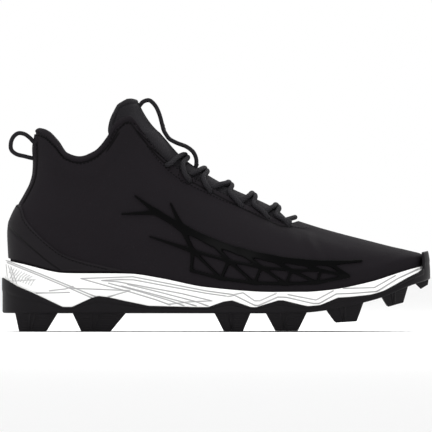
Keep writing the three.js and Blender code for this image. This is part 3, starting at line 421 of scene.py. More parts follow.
def mark_lines(piece, name, lines, width, fine=(), back=0.0):
    """Keeps how near each point lies to the lines, for the material. The fine lines lie further back."""
    places = points_of(piece.data)
    near = line_distance(places[:, 0], places[:, 2], lines)
    if fine:
        near = np.minimum(near, back + line_distance(places[:, 0], places[:, 2], fine))
    layer = piece.data.attributes.new(name, "FLOAT", "POINT")
    layer.data.foreach_set("value", np.exp(-((near / width) ** 2)).astype(np.float32))


# %% [markdown]
# ## Materials
#
# The shoe is nearly all black, so the finishes have to tell its parts apart: a fine matte grain on the upper,
# woven tape on the loops, a braid on the laces, satin rubber on the plate, and a gloss film on the overlay.
# The grain is a bump from noise at the real size, because it is far finer than any mesh.


# %% A plain material with grain
def new_material(name, colour, roughness):
    material = bpy.data.materials.new(name)
    material.use_nodes = True
    shader = material.node_tree.nodes["Principled BSDF"]
    shader.inputs["Base Color"].default_value = (*colour, 1)
    shader.inputs["Roughness"].default_value = roughness
    return material, material.node_tree, shader


def add_node(tree, kind, **values):
    node = tree.nodes.new(kind)
    for key, value in values.items():
        if key in node.inputs:
            node.inputs[key].default_value = value
        else:
            setattr(node, key, value)
    return node


def object_noise(tree, scale, detail=3.0, rough=0.55):
    place = add_node(tree, "ShaderNodeTexCoord")
    noise = add_node(tree, "ShaderNodeTexNoise", Scale=scale, Detail=detail, Roughness=rough)
    tree.links.new(place.outputs["Object"], noise.inputs["Vector"])
    return noise


def shade_colour(tree, shader, factor, dark, light):
    mix = add_node(tree, "ShaderNodeMix", data_type="RGBA")
    mix.inputs["A"].default_value = (*dark, 1)
    mix.inputs["B"].default_value = (*light, 1)
    tree.links.new(factor, mix.inputs["Factor"])
    tree.links.new(mix.outputs["Result"], shader.inputs["Base Color"])
    return mix


def add_bump(tree, shader, height, distance, strength=1.0):
    bump = add_node(tree, "ShaderNodeBump", Distance=distance, Strength=strength)
    tree.links.new(height, bump.inputs["Height"])
    last = shader.inputs["Normal"]
    if last.is_linked:
        tree.links.new(last.links[0].from_socket, bump.inputs["Normal"])
    tree.links.new(bump.outputs["Normal"], last)
    return bump


def vary_roughness(tree, shader, factor, low, high):
    spread = add_node(tree, "ShaderNodeMapRange")
    spread.inputs["To Min"].default_value = low
    spread.inputs["To Max"].default_value = high
    tree.links.new(factor, spread.inputs["Value"])
    tree.links.new(spread.outputs["Result"], shader.inputs["Roughness"])


# %% The upper's synthetic leather
def make_grained(name, dark, light, roughness, grain_scale, grain_depth):
    material, tree, shader = new_material(name, light, roughness)
    cloud = object_noise(tree, 35.0, 2.0)
    shade_colour(tree, shader, cloud.outputs["Fac"], dark, light)
    place = add_node(tree, "ShaderNodeTexCoord")
    cells = add_node(tree, "ShaderNodeTexVoronoi", Scale=grain_scale)
    tree.links.new(place.outputs["Object"], cells.inputs["Vector"])
    add_bump(tree, shader, cells.outputs["Distance"], grain_depth, 0.55)
    fine = object_noise(tree, grain_scale * 2.4, 4.0)
    add_bump(tree, shader, fine.outputs["Fac"], grain_depth * 0.5, 0.5)
    vary_roughness(tree, shader, cloud.outputs["Fac"], roughness - 0.05, roughness + 0.07)
    seam = add_node(tree, "ShaderNodeAttribute", attribute_name="seam")
    sunk = add_node(tree, "ShaderNodeMix", data_type="RGBA")
    sunk.inputs["B"].default_value = (0.0008, 0.0008, 0.0009, 1)
    tree.links.new(shader.inputs["Base Color"].links[0].from_socket, sunk.inputs["A"])
    tree.links.new(seam.outputs["Fac"], sunk.inputs["Factor"])
    tree.links.new(sunk.outputs["Result"], shader.inputs["Base Color"])
    return material, shader


leather, shader = make_grained(
    "upper_grain", (0.0078, 0.0066, 0.008), (0.0102, 0.0086, 0.0105), 0.74, 950, 0.00012
)
shader.inputs["Specular IOR Level"].default_value = 0.05
counter_skin, shader = make_grained(
    "counter_grain", (0.0068, 0.0058, 0.007), (0.0092, 0.0078, 0.0095), 0.6, 1300, 0.00008
)
shader.inputs["Specular IOR Level"].default_value = 0.08


# %% Knitted lining, woven tape and braided lace
def make_woven(name, colour, lift, across, along, depth):
    """Threads over and under in the piece's own UV map."""
    material, tree, shader = new_material(name, colour, 0.85)
    place = add_node(tree, "ShaderNodeTexCoord")
    split = add_node(tree, "ShaderNodeSeparateXYZ")
    tree.links.new(place.outputs["UV"], split.inputs["Vector"])
    waves = []
    for axis, count in (("X", across), ("Y", along)):
        turn = add_node(tree, "ShaderNodeMath", operation="MULTIPLY")
        turn.inputs[1].default_value = count * 2 * math.pi
        tree.links.new(split.outputs[axis], turn.inputs[0])
        wave = add_node(tree, "ShaderNodeMath", operation="SINE")
        tree.links.new(turn.outputs[0], wave.inputs[0])
        waves.append(wave)
    weave = add_node(tree, "ShaderNodeMath", operation="MULTIPLY")
    tree.links.new(waves[0].outputs[0], weave.inputs[0])
    tree.links.new(waves[1].outputs[0], weave.inputs[1])
    height = add_node(tree, "ShaderNodeMapRange")
    height.inputs["From Min"].default_value = -1
    tree.links.new(weave.outputs[0], height.inputs["Value"])
    light = tuple(c * lift for c in colour)
    shade_colour(tree, shader, height.outputs["Result"], colour, light)
    add_bump(tree, shader, height.outputs["Result"], depth, 0.8)
    shader.inputs["Specular IOR Level"].default_value = 0.12
    return material


lining = make_woven("lining_knit", (0.0098, 0.0093, 0.0106), 1.5, 420, 90, 0.0003)
tongue_cloth = make_woven("tongue_knit", (0.0105, 0.0098, 0.0113), 1.5, 60, 110, 0.0002)
tape_weave = make_woven("tape_weave", (0.0098, 0.0091, 0.0106), 1.6, 26, 60, 0.00025)
lace_braid = make_woven("lace_braid", (0.0088, 0.0083, 0.0096), 1.9, 6, 26, 0.00035)
insole_cloth = make_woven("insole_cloth", (0.014, 0.0135, 0.015), 1.4, 150, 60, 0.0002)


# %% Thread, rubber, foam and gloss film
thread, tree, shader = new_material("thread", (0.0015, 0.0014, 0.0016), 0.7)
shader.inputs["Specular IOR Level"].default_value = 0.06
twist = object_noise(tree, 2500.0, 2.0)
add_bump(tree, shader, twist.outputs["Fac"], 0.0001, 0.5)

plate_rubber, tree, shader = new_material("plate_rubber", (0.006, 0.0053, 0.0062), 0.5)
shader.inputs["Specular IOR Level"].default_value = 0.07
cloud = object_noise(tree, 60.0, 3.0)
shade_colour(tree, shader, cloud.outputs["Fac"], (0.0052, 0.0046, 0.0054), (0.0074, 0.0066, 0.0077))
vary_roughness(tree, shader, cloud.outputs["Fac"], 0.44, 0.56)
fine = object_noise(tree, 1800.0, 3.0)
add_bump(tree, shader, fine.outputs["Fac"], 0.00005, 0.5)

foam_white, tree, shader = new_material("foam_white", (0.86, 0.86, 0.85), 0.55)
# Painted shade: near the grooves and the hatching the white foam is coloured dark grey, as if shaded.
groove_shade = add_node(tree, "ShaderNodeAttribute", attribute_name="groove_shade")
shade_colour(tree, shader, groove_shade.outputs["Fac"], (0.88, 0.88, 0.87), (0.23, 0.23, 0.235))
fine = object_noise(tree, 1500.0, 3.0)
add_bump(tree, shader, fine.outputs["Fac"], 0.00004, 0.5)
shader.inputs["Specular IOR Level"].default_value = 0.3

gloss_film, tree, shader = new_material("gloss_film", (0.0004, 0.0004, 0.0005), 0.32)
shader.inputs["Specular IOR Level"].default_value = 0.03
shader.inputs["Coat Weight"].default_value = 0.035
shader.inputs["Coat Roughness"].default_value = 0.12
ripple = object_noise(tree, 260.0, 2.0)
add_bump(tree, shader, ripple.outputs["Fac"], 0.00012, 0.35)
print("materials:", len(bpy.data.materials))

# %% [markdown]
# ## The sole's rings
#
# Midsole, insole and plate are all rings beside the feather line, closed by lids. A ring is a grid that goes
# once round the shoe; a lid is a grid from the outer side across to the inner one. Both have the same number
# of points along their common edge, so they weld.

# %% Rings and lids
RING = 480  # steps from heel to toe on one side


def add_ring(bm, rows, out_and_height, steps=RING):
    """out_and_height(turn, share, x) gives how far outside the feather line a point lies, and how high."""

    def place(u, v):
        turn = 2 * u % 2
        base = sole_point(turn, 0 * turn, 0.0)
        out, height = out_and_height(turn, v, base[..., 0])
        point = sole_point(turn, out, 0.0)
        point[..., 2] = height
        return point

    return bend_grid(bm, 2 * steps, rows, place)


def add_lid(bm, across, out, height, steps=RING, sink=None):
    def border(turn):
        point = sole_point(turn, out + 0 * turn, 0.0)
        point[..., 2] = height(sole_point(turn, 0 * turn, 0.0)[..., 0])
        return point

    def place(u, v):
        near, far = border(u), border((2 - u) % 2)
        point = near + (far - near) * v[..., None]
        if sink is not None:
            point[..., 2] += sink(point, v)
        return point

    return bend_grid(bm, steps, across, place)


# %% [markdown]
# ## Midsole
#
# A moulded foam cup, cast in one go with its side's decoration: fine grooves that run down from the heel,
# two long wedges under the arch, a hatched facet at the back, and a double groove that repeats the zigzag of
# the plate. They are drawn as lines in the side view, and the wall sinks where it comes near one of them.
# The same distance is kept as an attribute, and the material uses it to paint shade into the grooves: the foam
# turns dark grey near them.

# %% Lines of the midsole's side
side_grooves = [
    px((7.5, 262.5), (40, 275.5), (70, 288), (96.5, 299.5)),
    px((6.5, 260.4), (43, 274.6), (73, 287), (101, 298.6)),
    px((37, 293), (70, 292.3)),
    px((50, 290.6), (66, 288.8), (73.5, 286.2)),
    px((71, 288.1), (104, 289.4), (130, 290.5), (117, 294.3), (109, 296.9)),
    px((81.2, 278.4), (117, 277.2), (133, 276.6), (158, 281.4), (206, 290.6), (232, 294.2)),
    px((81.2, 278.4), (109, 286.2), (132, 292.2), (156, 299.5), (170, 304.6)),
    px((102, 280.4), (120, 279.4), (134, 279.7), (158, 284.2), (206, 293), (226, 295.8)),
    px((102, 280.4), (118, 281.6), (140, 285.6), (182, 293.4), (212, 300.6)),
    px((109, 283), (140, 291.4), (170, 300.4), (184, 305.4)),
    px((122, 285.8), (150, 293), (180, 301), (196, 305.6)),
    px((128, 284.3), (160, 292), (194, 300.8), (208, 305.6)),
    px((170, 304), (190, 301.6), (212, 300.6)),
    px((233, 294.6), (243, 292.5), (254.5, 300.5), (259.7, 300.5), (275.8, 293.3)),
    px((287.5, 294.3), (315.6, 299.7), (332.8, 290.5)),
    px((343, 288.2), (373.5, 287.5), (395, 275.5)),
    px((228, 296.5), (234.4, 295), (255.1, 305.2), (258.6, 305.2), (277.5, 296.8), (286, 297), (312.7, 303.2),
       (318.5, 303.2), (335.7, 293.7), (351.8, 293.2), (376, 291.3), (397, 278.4), (418, 268.9)),
]
HATCHES = range(9)
heel_hatch = [px((12 + 2.6 * i, 267.2 + 1.1 * i), (9.5 + 2.3 * i, 272.4 + 0.8 * i)) for i in HATCHES]
heel_hatch += [px((13 + 2.7 * i, 274.2 + 0.7 * i), (10.5 + 2.6 * i, 278 + 0.9 * i)) for i in HATCHES]
heel_hatch += [
    px((8.6, 265.5), (13.5, 281), (36, 279.5)), px((6.2, 264.5), (7.5, 276)), px((11, 266.5), (17, 283)),
]
print("grooves on a side:", len(side_grooves) + len(heel_hatch))

# %% Midsole mesh
BUMPER_FROM, BUMPER_FULL = 0.986, 0.9905  # where round the toe the plate's edge rises to the bumper
EDGE_ALONG = [0, 0.029, 0.062, 0.128, 0.15, 0.198, 0.215, 0.239, 0.278, 0.338, 0.483, 0.522, 0.542, 0.588,
              0.599, 0.65, 0.661, 0.721, 0.746, 0.788, 0.869, 0.884, 0.934, 0.975, 0.986]
EDGE_RISES = [2.44, 1.89, 1.44, 0.45, 0.43, 1.06, 1.2, 1.11, 0.86, 0.52, 0.42, 0.82, 0.9, 0.43,
              0.43, 0.9, 0.89, 0.43, 0.43, 0.76, 0.42, 0.4, 0.58, 0.76, 0.9]


def plate_edge(turn, x):
    points = np.maximum(EDGE_RISE * np.interp(along_of(turn), EDGE_ALONG, EDGE_RISES), PLATE + 2 * GAP)
    return underside(x) + between(points, BUMPER, smooth(BUMPER_FROM, BUMPER_FULL, along_of(turn)))


def rim_outside(turn):
    return RIM_CLEAR + RIM + HEEL_RIM * (1 - smooth(0, 0.12, along_of(turn)))


def bottom_of_midsole(x):
    return plate_top(x) + GAP


GROOVE, HATCH = 0.5, 0.38  # how deep the grooves and the fine hatching are moulded


def midsole_side(turn, down, x):
    """Side wall: out from the feather line, and height, with its grooves."""
    high, low = rim_height(x), bottom_of_midsole(x)
    height = between(high, low, down)
    out = between(rim_outside(turn), FLARE, smooth(0, 1, down) * 0.6 + 0.4 * down)
    near = line_distance(x, height, side_grooves)
    hatch = line_distance(x, height, heel_hatch)
    sunk = GROOVE * np.exp(-((near / 0.62) ** 2)) + HATCH * np.exp(-((hatch / 0.55) ** 2))
    wall = high - low
    sunk *= smooth(0, 0.5, (down * wall)) * smooth(0, 0.4, (1 - down) * wall)
    return out - sunk, height


bm = bmesh.new()
SIDE_FROM, SIDE_ROWS = 0.12, 72
RIM_SHARE = 0.625  # of the rows inside the cup, those that rise; the others go over the rim


def midsole_wall(turn, v, x):
    """Inside of the rim, its rounded top, then the side down to the plate."""
    v = np.asarray(v)
    inner = v / SIDE_FROM
    rim = rim_height(x)
    risen = np.clip(inner / RIM_SHARE, 0, 1)
    out_in = between(RIM_CLEAR - TUCK, RIM_CLEAR, risen)
    height_in = between(footbed(x), rim - 2 * GAP, risen)
    over = np.clip((inner - RIM_SHARE) / (1 - RIM_SHARE), 0, 1)
    out_in = between(out_in, rim_outside(turn), smooth(0, 1, over))
    height_in = height_in + 2 * GAP * np.sin(over * math.pi / 2)
    down = np.clip((v - SIDE_FROM) / (1 - SIDE_FROM), 0, 1)
    out, height = midsole_side(turn, down, x)
    side = v > SIDE_FROM
    return np.where(side, out, out_in), np.where(side, height, height_in)


add_ring(bm, SIDE_ROWS, midsole_wall)
add_lid(bm, 6, RIM_CLEAR - TUCK, footbed)
add_lid(bm, 6, FLARE, bottom_of_midsole)
midsole = finish_piece("midsole_foam", bm, [foam_white], ["midsole"], sharp=60)
# Painted shade: this mask colours the foam grey in its grooves and hatching.
mark_lines(midsole, "groove_shade", side_grooves, 0.5, heel_hatch, 0.12)

# %% [markdown]
# ## Outsole plate
#
# One moulding: a thin base, a pointed edge that grips the foam's side, a bumper over the toe, and the studs.
# Its wall is a ring again. Each stud is a small ring of its own that narrows from the base to its tip, with
# two raised lines and fine fanned ribs on the face that shows, because a stud that is too smooth looks like
# a toy. The shoulder where a stud leaves the wall follows the pointed edge.

# %% Plate wall
PLATE_OUT = FLARE + GAP + WRAP
FOOT_IN, CORNER, EDGE_ROUND, EDGE_DROP = 1.8, 1.2, 0.5, 0.25  # the wall's rounded foot and top edge
SIDE_LOW, SIDE_HIGH = 0.2, 0.8  # shares of the grid between which the wall is straight
SHOULDER, PROUD, SHOULDER_LINE = 0.62, 0.35, 0.3  # the step along the wall, and the line cut under it
BUMPER_LEAN = 1.7


def bumper_lean(turn, share):
    """How far the rounded bumper draws in, above and below its middle."""
    curve = np.clip((share - 0.35) / 0.65, 0, 1) ** 2 + 0.4 * np.clip((0.3 - share) / 0.3, 0, 1) ** 2
    return BUMPER_LEAN * smooth(0.984, 0.9915, along_of(turn)) * curve


def plate_wall(turn, v, x):
    v = np.asarray(v)
    low, top = underside(x), plate_edge(turn, x)
    drawn_in = np.interp(v, [0, 0.12, SIDE_LOW, SIDE_HIGH, 0.9, 1.0], [FOOT_IN, CORNER, 0, 0, 0.45, WRAP])
    foot = low + np.interp(v, [0.12, SIDE_LOW], [0, CORNER])
    side = between(low + CORNER, top - EDGE_ROUND, np.clip((v - SIDE_LOW) / (SIDE_HIGH - SIDE_LOW), 0, 1))
    edge = top - np.interp(v, [SIDE_HIGH, 0.9, 1.0], [EDGE_ROUND, 0.02, EDGE_DROP])
    height = np.where(v < SIDE_LOW, foot, np.where(v > SIDE_HIGH, edge, side))
    over = height - between(low, top, SHOULDER)
    line = np.exp(-((over / 0.55) ** 2)) * (along_of(turn) < 0.965) * (along_of(turn) > 0.01)
    step = np.where((v > SIDE_LOW) & (v < 0.85), PROUD * (1 - smooth(-0.4, 0.4, over)), 0)
    drawn_in = drawn_in + bumper_lean(turn, np.clip(v / SIDE_HIGH, 0, 1))
    return PLATE_OUT - drawn_in - SHOULDER_LINE * line - step, height


def plate_inside(turn, v, x):
    top = plate_edge(turn, x) - EDGE_DROP
    return PLATE_OUT - WRAP - bumper_lean(turn, 1 - np.asarray(v)), between(top, plate_top(x), v)


bm = bmesh.new()
add_ring(bm, 30, plate_wall)
add_ring(bm, 3, plate_inside)
add_lid(bm, 6, PLATE_OUT - WRAP, plate_top)
add_lid(bm, 22, PLATE_OUT - FOOT_IN, underside)
print("plate wall:", len(bm.faces), "faces")

# %% Studs
STUD_ROWS = [  # top from, top to, tip from, tip to, lift
    (0.03, 0.133, 0.0405, 0.1037, 0), (0.163, 0.294, 0.1855, 0.2537, 0), (0.4926, 0.5814, 0.5176, 0.5611, 0),
    (0.6115, 0.7128, 0.6361, 0.6892, 0.06), (0.7514, 0.8443, 0.7757, 0.826, 0.5),
    (0.8807, 0.949, 0.898, 0.9348, 1.35),
]
STUD_WIDE, STUD_TIP, STUD_LEAN, STUD_IN = 19.0, 9.5, 4.5, 1.4
TIP_FROM_SHARE, TIP_SLOPE = 0.93, 0.22  # the grid's share above the tip's round corner; slope of raised tips
LINE_REAR, LINE_TOP, LINE_TIP, LINE_HALF, LINE_PROUD = 0.37, 0.5, 0.45, 0.02, 0.75  # the two raised lines
RIB_MIDDLE, RIB_FAN, RIB_PITCH, RIB_PROUD = 0.43, 0.16, 1.55, 0.16  # the fanned ribs
CORNER_ROUND = 0.5
side_ring = np.linspace(0, 1, 241)


def outline_at(side, out):
    """How far out the plate reaches at each x, on one side."""
    turns = side_ring if side < 0 else (2 - side_ring) % 2
    ring = sole_point(turns, out + 0 * turns, 0.0)
    order = np.argsort(ring[:, 0])
    return lambda x: np.interp(x, ring[order, 0], ring[order, 1])


def stud_outline():
    """Round a stud's section: share along it, share across it, with soft corners."""
    corners = [(0, 0), (1, 0), (0.85, 1), (0.15, 1)]
    counts = [40, 8, 10, 8]
    ring = []
    for (ax, ay), (bx, by), count in zip(corners, corners[1:] + corners[:1], counts):
        for k in range(count):
            t = 0.035 + 0.93 * k / (count - 1)
            ring.append((between(ax, bx, t), between(ay, by, t)))
    return np.array(ring)


section = stud_outline()
print("points round a stud:", len(section))


def add_stud(bm, row, side):
    top_from, top_to, tip_from, tip_to = (share * LENGTH for share in row[:4])
    lift = row[4]
    outer = outline_at(side, PLATE_OUT - STUD_IN)

    def place(u, v):
        index = np.rint(u * len(section)).astype(int) % len(section)
        s, inward = section[index, 0], section[index, 1]
        down = np.clip(v / TIP_FROM_SHARE, 0, 1)
        tuck = np.clip((v - TIP_FROM_SHARE) / (1 - TIP_FROM_SHARE), 0, 1)
        x_root, x_tip = between(top_from, top_to, s), between(tip_from, tip_to, s)
        y_root = outer(np.clip(x_root, top_from, top_to)) - side * STUD_WIDE * inward
        outer_tip = outer(np.clip(x_tip, between(top_from, top_to, 0.3), top_to))
        y_tip = outer_tip - side * STUD_LEAN - side * STUD_TIP * inward
        z_root = underside(x_root) + 1.5
        z_tip = STUD * lift + max(lift - 0.25, 0) * TIP_SLOPE * (x_tip - tip_from)
        x, y, z = between(x_root, x_tip, down), between(y_root, y_tip, down), between(z_root, z_tip, down)
        face = (inward < 0.02) * smooth(0.02, 0.12, down) * (1 - smooth(0.9, 1.0, down)) * (1 - tuck)
        places = (LINE_REAR, between(LINE_TOP, LINE_TIP, down))
        lines = sum(np.exp(-(((s - at) / LINE_HALF) ** 2)) for at in places)
        ahead = RIB_FAN * np.abs(x - between(x_root, x_tip, RIB_MIDDLE)) * np.sign(s - RIB_MIDDLE)
        beside = 1 - smooth(0.0, 0.03, 0.07 - np.abs(s - RIB_MIDDLE))
        ribs = np.sin(2 * np.pi * (z + ahead) / RIB_PITCH) * beside
        ribs *= smooth(0.06, 0.12, s) * smooth(0.04, 0.1, 1 - s)
        y = y + side * face * (LINE_PROUD * lines + RIB_PROUD * ribs)
        middle_x, middle_y = between(tip_from, tip_to, 0.5), outer_tip - side * (STUD_LEAN + STUD_TIP * 0.5)
        pull = 1.4 * CORNER_ROUND * (1 - np.sqrt(np.maximum(1 - tuck**2, 0)))
        away = np.hypot(x - middle_x, y - middle_y) + 1e-6
        x = x - (x - middle_x) / away * pull
        y = y - (y - middle_y) / away * pull
        z = z + CORNER_ROUND * (1 - np.sin(tuck * math.pi / 2)) * (v > 0) * smooth(0.9, TIP_FROM_SHARE, v)
        return np.stack([x, y, z], -1)

    bend_grid(bm, len(section), 34, place)


for row in STUD_ROWS:
    for side in (-1, 1):
        add_stud(bm, row, side)

# %% Toe stud
TOE_ROOT_FROM, TOE_ROOT_TO, TOE_TIP_FROM, TOE_TIP_TO = 0.957, 0.996, 0.976, 0.993
TOE_WIDE, TOE_TIP_WIDE, TOE_TIP_RISE, TOE_TIP_SLOPE = 30, 20, 2.3, 0.55


def add_toe_stud(bm):
    """A single bar under the toe, across the shoe."""
    middle = BALL * float(axis_share(0.97))
    ring = np.array([(0.0, -1), (0.0, -0.6), (0, -0.2), (0, 0.2), (0, 0.6), (0, 1), (0.35, 0.85), (0.7, 0.65),
                     (1, 0.5), (1, 0.2), (1, -0.2), (1, -0.5), (0.7, -0.65), (0.35, -0.85)])

    def place(u, v):
        index = np.rint(u * len(ring)).astype(int) % len(ring)
        s, half = ring[index, 0], ring[index, 1]
        down = np.clip(v / 0.9, 0, 1)
        tuck = np.clip((v - 0.9) / 0.1, 0, 1)
        x_root = between(TOE_ROOT_FROM, TOE_ROOT_TO, s) * LENGTH
        x_tip = between(TOE_TIP_FROM, TOE_TIP_TO, s) * LENGTH
        x = between(x_root, x_tip, down)
        y = middle + half * between(TOE_WIDE, TOE_TIP_WIDE, down) / 2 * (1 - 0.03 * tuck)
        z_tip = STUD * TOE_TIP_RISE + TOE_TIP_SLOPE * (x_tip - TOE_TIP_FROM * LENGTH)
        z = between(underside(x_root) + 1.5, z_tip, down)
        x = x + (between(TOE_TIP_FROM, TOE_TIP_TO, 0.5) * LENGTH - x) * 0.12 * tuck
        return np.stack([x, y, z], -1)

    bend_grid(bm, len(ring), 12, place)


add_toe_stud(bm)
close_ends(bm)
finish_piece("stud_plate", bm, [plate_rubber], ["plate"], sharp=42)

# %% [markdown]
# ## Insole
#
# A thin cloth-covered footbed, slightly cupped at its edge. Only its heel shows, down inside the collar.

# %% Insole mesh
INSOLE_OUT, INSOLE_THICK, INSOLE_EDGE, INSOLE_CUP = -TUCK - WALL - GAP, 4.0, 0.8, 0.7
INSOLE_RING = 120


def insole_foot(x):
    return footbed(x) + GAP


def insole_top(x):
    return insole_foot(x) + INSOLE_THICK


def insole_edge(_, v, x):
    out = INSOLE_OUT - INSOLE_EDGE * smooth(0.6, 1.0, v) ** 2
    return out, insole_foot(x) + INSOLE_THICK * np.minimum(v * 1.02, 1)


def insole_cup(_, v):
    return -INSOLE_CUP * np.sin(np.pi * np.clip(v, 0, 1)) ** 0.6


bm = bmesh.new()
add_ring(bm, 8, insole_edge, INSOLE_RING)
add_lid(bm, 30, INSOLE_OUT - INSOLE_EDGE, insole_top, INSOLE_RING, insole_cup)
add_lid(bm, 6, INSOLE_OUT, insole_foot, INSOLE_RING)
finish_piece("insole_footbed", bm, [insole_cloth], ["insole"], sharp=50)

# %% [markdown]
# ## Upper
#
# One hollow wall: an outer sheet, an inner sheet with a knitted lining, and a soft roll where they meet at
# the collar. The relief that the real upper gets from its padding, its bound edge, the strip up the heel and
# the panel behind the eyelets is added to the outer sheet as heights of less than a millimetre. Two faint
# flex troughs lie over the ball, where every upper bends.

# %% Relief of the upper
EYELETS = [(0.88, 0.885), (0.8, 0.9), (0.715, 0.91), (0.615, 0.92), (0.545, 0.925), (0.475, 0.93)]
EYELET_RADIUS, PUNCH_LONG = 2.1, 12
flap_seams = [px((151, 147.5), (161, 156), (171, 165)), px((107.6, 151), (112, 144.5), (119, 133.5))]
flap_slot = [px((136.5, 130.5), (149.5, 142.5))]
flex_troughs = [px((300, 236), (312, 262)), px((316, 240), (330, 262))]
flex_ridge = [px((308, 240), (321, 262))]
COLLAR_EDGE = (1.9, 0.4, 1.4)  # from the top edge, height and width of each long form
COLLAR_GROOVE = (4.1, -0.6, 0.75)
COLLAR_PAD = (14, 0.9, 6.5)
STRIP_GROOVE = (13.9, -0.3, 0.7)
STRIP_PROUD, STAY_PROUD = 0.5, 0.45
TROUGH, RIDGE, FLEX_WIDE = -0.5, 0.35, 3.6


def wall_at(turn, up):
    along = along_of(turn)
    collar = smooth(0.78, 0.9, up) * (1 - smooth(0.2, 0.3, along))
    eyestay = smooth(0.7, 0.8, up) * smooth(0.3, 0.4, along)
    return WALL + PADDING * collar + EYESTAY * eyestay


def from_top_edge(turn, up, base):
    return np.linalg.norm(last_point(turn, 1 + 0 * up) - base, axis=-1)


def bump_at(distance, height, width):
    return height * np.exp(-((distance / width) ** 2))


def form_at(distance, form):
    middle, height, width = form
    return bump_at(distance - middle, height, width)


def upper_relief(turn, up):
    base = last_point(turn, up)
    x, z = base[..., 0], base[..., 2]
    along = along_of(turn)
    edge = from_top_edge(turn, up, base)
    collar = 1 - smooth(0.37, 0.43, along)
    relief = collar * (form_at(edge, COLLAR_EDGE) + form_at(edge, COLLAR_GROOVE))
    relief += (1 - smooth(0.2, 0.32, along)) * form_at(edge, COLLAR_PAD)
    from_middle = np.abs(base[..., 1])
    heel = (1 - smooth(0.06, 0.09, along)) * smooth(0.4, 0.43, up)
    relief += STRIP_PROUD * heel * (1 - smooth(12.6, 13.8, from_middle)) * smooth(4.2, 5.4, edge)
    relief += form_at(from_middle, STRIP_GROOVE) * heel
    stay = smooth(0.38, 0.45, along) * (1 - smooth(12.2, 13.2, edge))
    relief += STAY_PROUD * stay * (1 - smooth(0.955, 0.985, along))
    relief += bump_at(line_distance(x, z, flap_seams), -0.42, 0.6)
    slot = line_distance(x, z, flap_slot)
    relief += bump_at(slot - 1.7, -0.45, 0.5) + 0.25 * (1 - smooth(0.9, 1.5, slot))
    flex = bump_at(line_distance(x, z, flex_troughs), TROUGH, FLEX_WIDE)
    flex += bump_at(line_distance(x, z, flex_ridge), RIDGE, FLEX_WIDE)
    return relief + flex * smooth(0.1, 0.3, up), edge


def edge_roll(edge, wall):
    """How far each sheet comes in to the middle of the wall, close to the top edge."""
    radius = wall * 0.5
    t = np.clip(1 - edge / radius, 0, 1)
    return radius * (1 - np.sqrt(np.maximum(1 - t * t, 0)))


# %% Upper mesh
TUCKED = 0.03  # share of the rows that are tucked into the cup
AROUND = 300  # steps from heel to toe on one side


def up_of(v):
    s = np.clip((v - TUCKED) / (1 - TUCKED), 0, 1)
    return 1 - (1 - s) ** 1.35


def upper_sheet(outside):
    def place(u, v):
        turn, up = 2 * u % 2, up_of(v)
        relief, edge = upper_relief(turn, up)
        wall = wall_at(turn, up)
        roll = edge_roll(edge, wall)
        fade = smooth(0.2, 2.2, edge)
        if outside:
            point = skin_point(turn, up, relief * fade - roll)
        else:
            point = skin_point(turn, up, -wall + roll)
        tuck = sole_point(turn, 0 * turn - TUCK - (0 if outside else WALL), 0.0)
        tuck[..., 2] = footbed(tuck[..., 0]) + GAP
        first = skin_point(turn, 0 * up, -(0 if outside else WALL) + 0 * up)
        share = np.clip(v / TUCKED, 0, 1)[..., None]
        return np.where((v < TUCKED)[..., None], tuck + (first - tuck) * share, point)

    return place


def upper_foot(u, v):
    turn = 2 * u % 2
    low = sole_point(turn, -TUCK - WALL * v, 0.0)
    low[..., 2] = footbed(low[..., 0]) + GAP
    return low


bm = bmesh.new()
bend_grid(bm, 2 * AROUND, 100, upper_sheet(True), 0)
bend_grid(bm, 2 * AROUND, 36, upper_sheet(False), 1)
bend_grid(bm, 2 * AROUND, 1, upper_foot, 0)
upper = finish_piece("upper_shell", bm, [leather, lining], ["upper"], sharp=65)

# %% [markdown]
# The eyelets are punched with a Boolean: twelve short round cutters, joined into one mesh. A hole made this
# way has a clean round edge at any mesh density, and the lace can be seen to go down into it.


# %% Punched eyelets
def side_turn(along, side):
    """Turn at a share of the length: side is -1 on the outer side and 1 on the inner one."""
    turn = float(turn_of(along))
    return turn if side < 0 else (2 - turn) % 2


def frame_at(turn, up):
    centre = skin_point(np.array([turn]), np.array([up]), np.array([0.0]))[0]
    normal = skin_normal(np.array([turn]), np.array([up]))[0]
    return centre, normal


def turned_matrix(centre, axis_z, axis_x, scale=(1, 1, 1)):
    """Places a unit shape: its z along axis_z and its x as near axis_x as can be."""
    z = Vector(axis_z).normalized()
    x = (Vector(axis_x) - z * Vector(axis_x).dot(z)).normalized()
    y = z.cross(x)
    place = to_row(np.array(centre))
    matrix = Matrix.Identity(4)
    for column, (axis, size) in enumerate(zip((x, y, z), scale)):
        for row_index in range(3):
            matrix[row_index][column] = axis[row_index] * size / 1000
    for row_index in range(3):
        matrix[row_index][3] = float(place[row_index])
    return matrix


def mesh_of(name, bm):
    mesh = bpy.data.meshes.new(name)
    bm.to_mesh(mesh)
    bm.free()
    return mesh


def with_modifiers(piece):
    """The mesh that a piece has once its modifiers are worked out; they are taken off it."""
    bpy.context.view_layer.update()
    done = bpy.data.meshes.new_from_object(piece.evaluated_get(bpy.context.evaluated_depsgraph_get()))
    piece.modifiers.clear()
    return done


def cut_with(piece, bm):
    cutter = new_object("cutters", mesh_of("cutters", bm))
    cut = piece.modifiers.new("punch", "BOOLEAN")
    cut.object, cut.operation, cut.solver = cutter, "DIFFERENCE", "EXACT"
    piece.data = with_modifiers(piece)
    bpy.data.objects.remove(cutter)


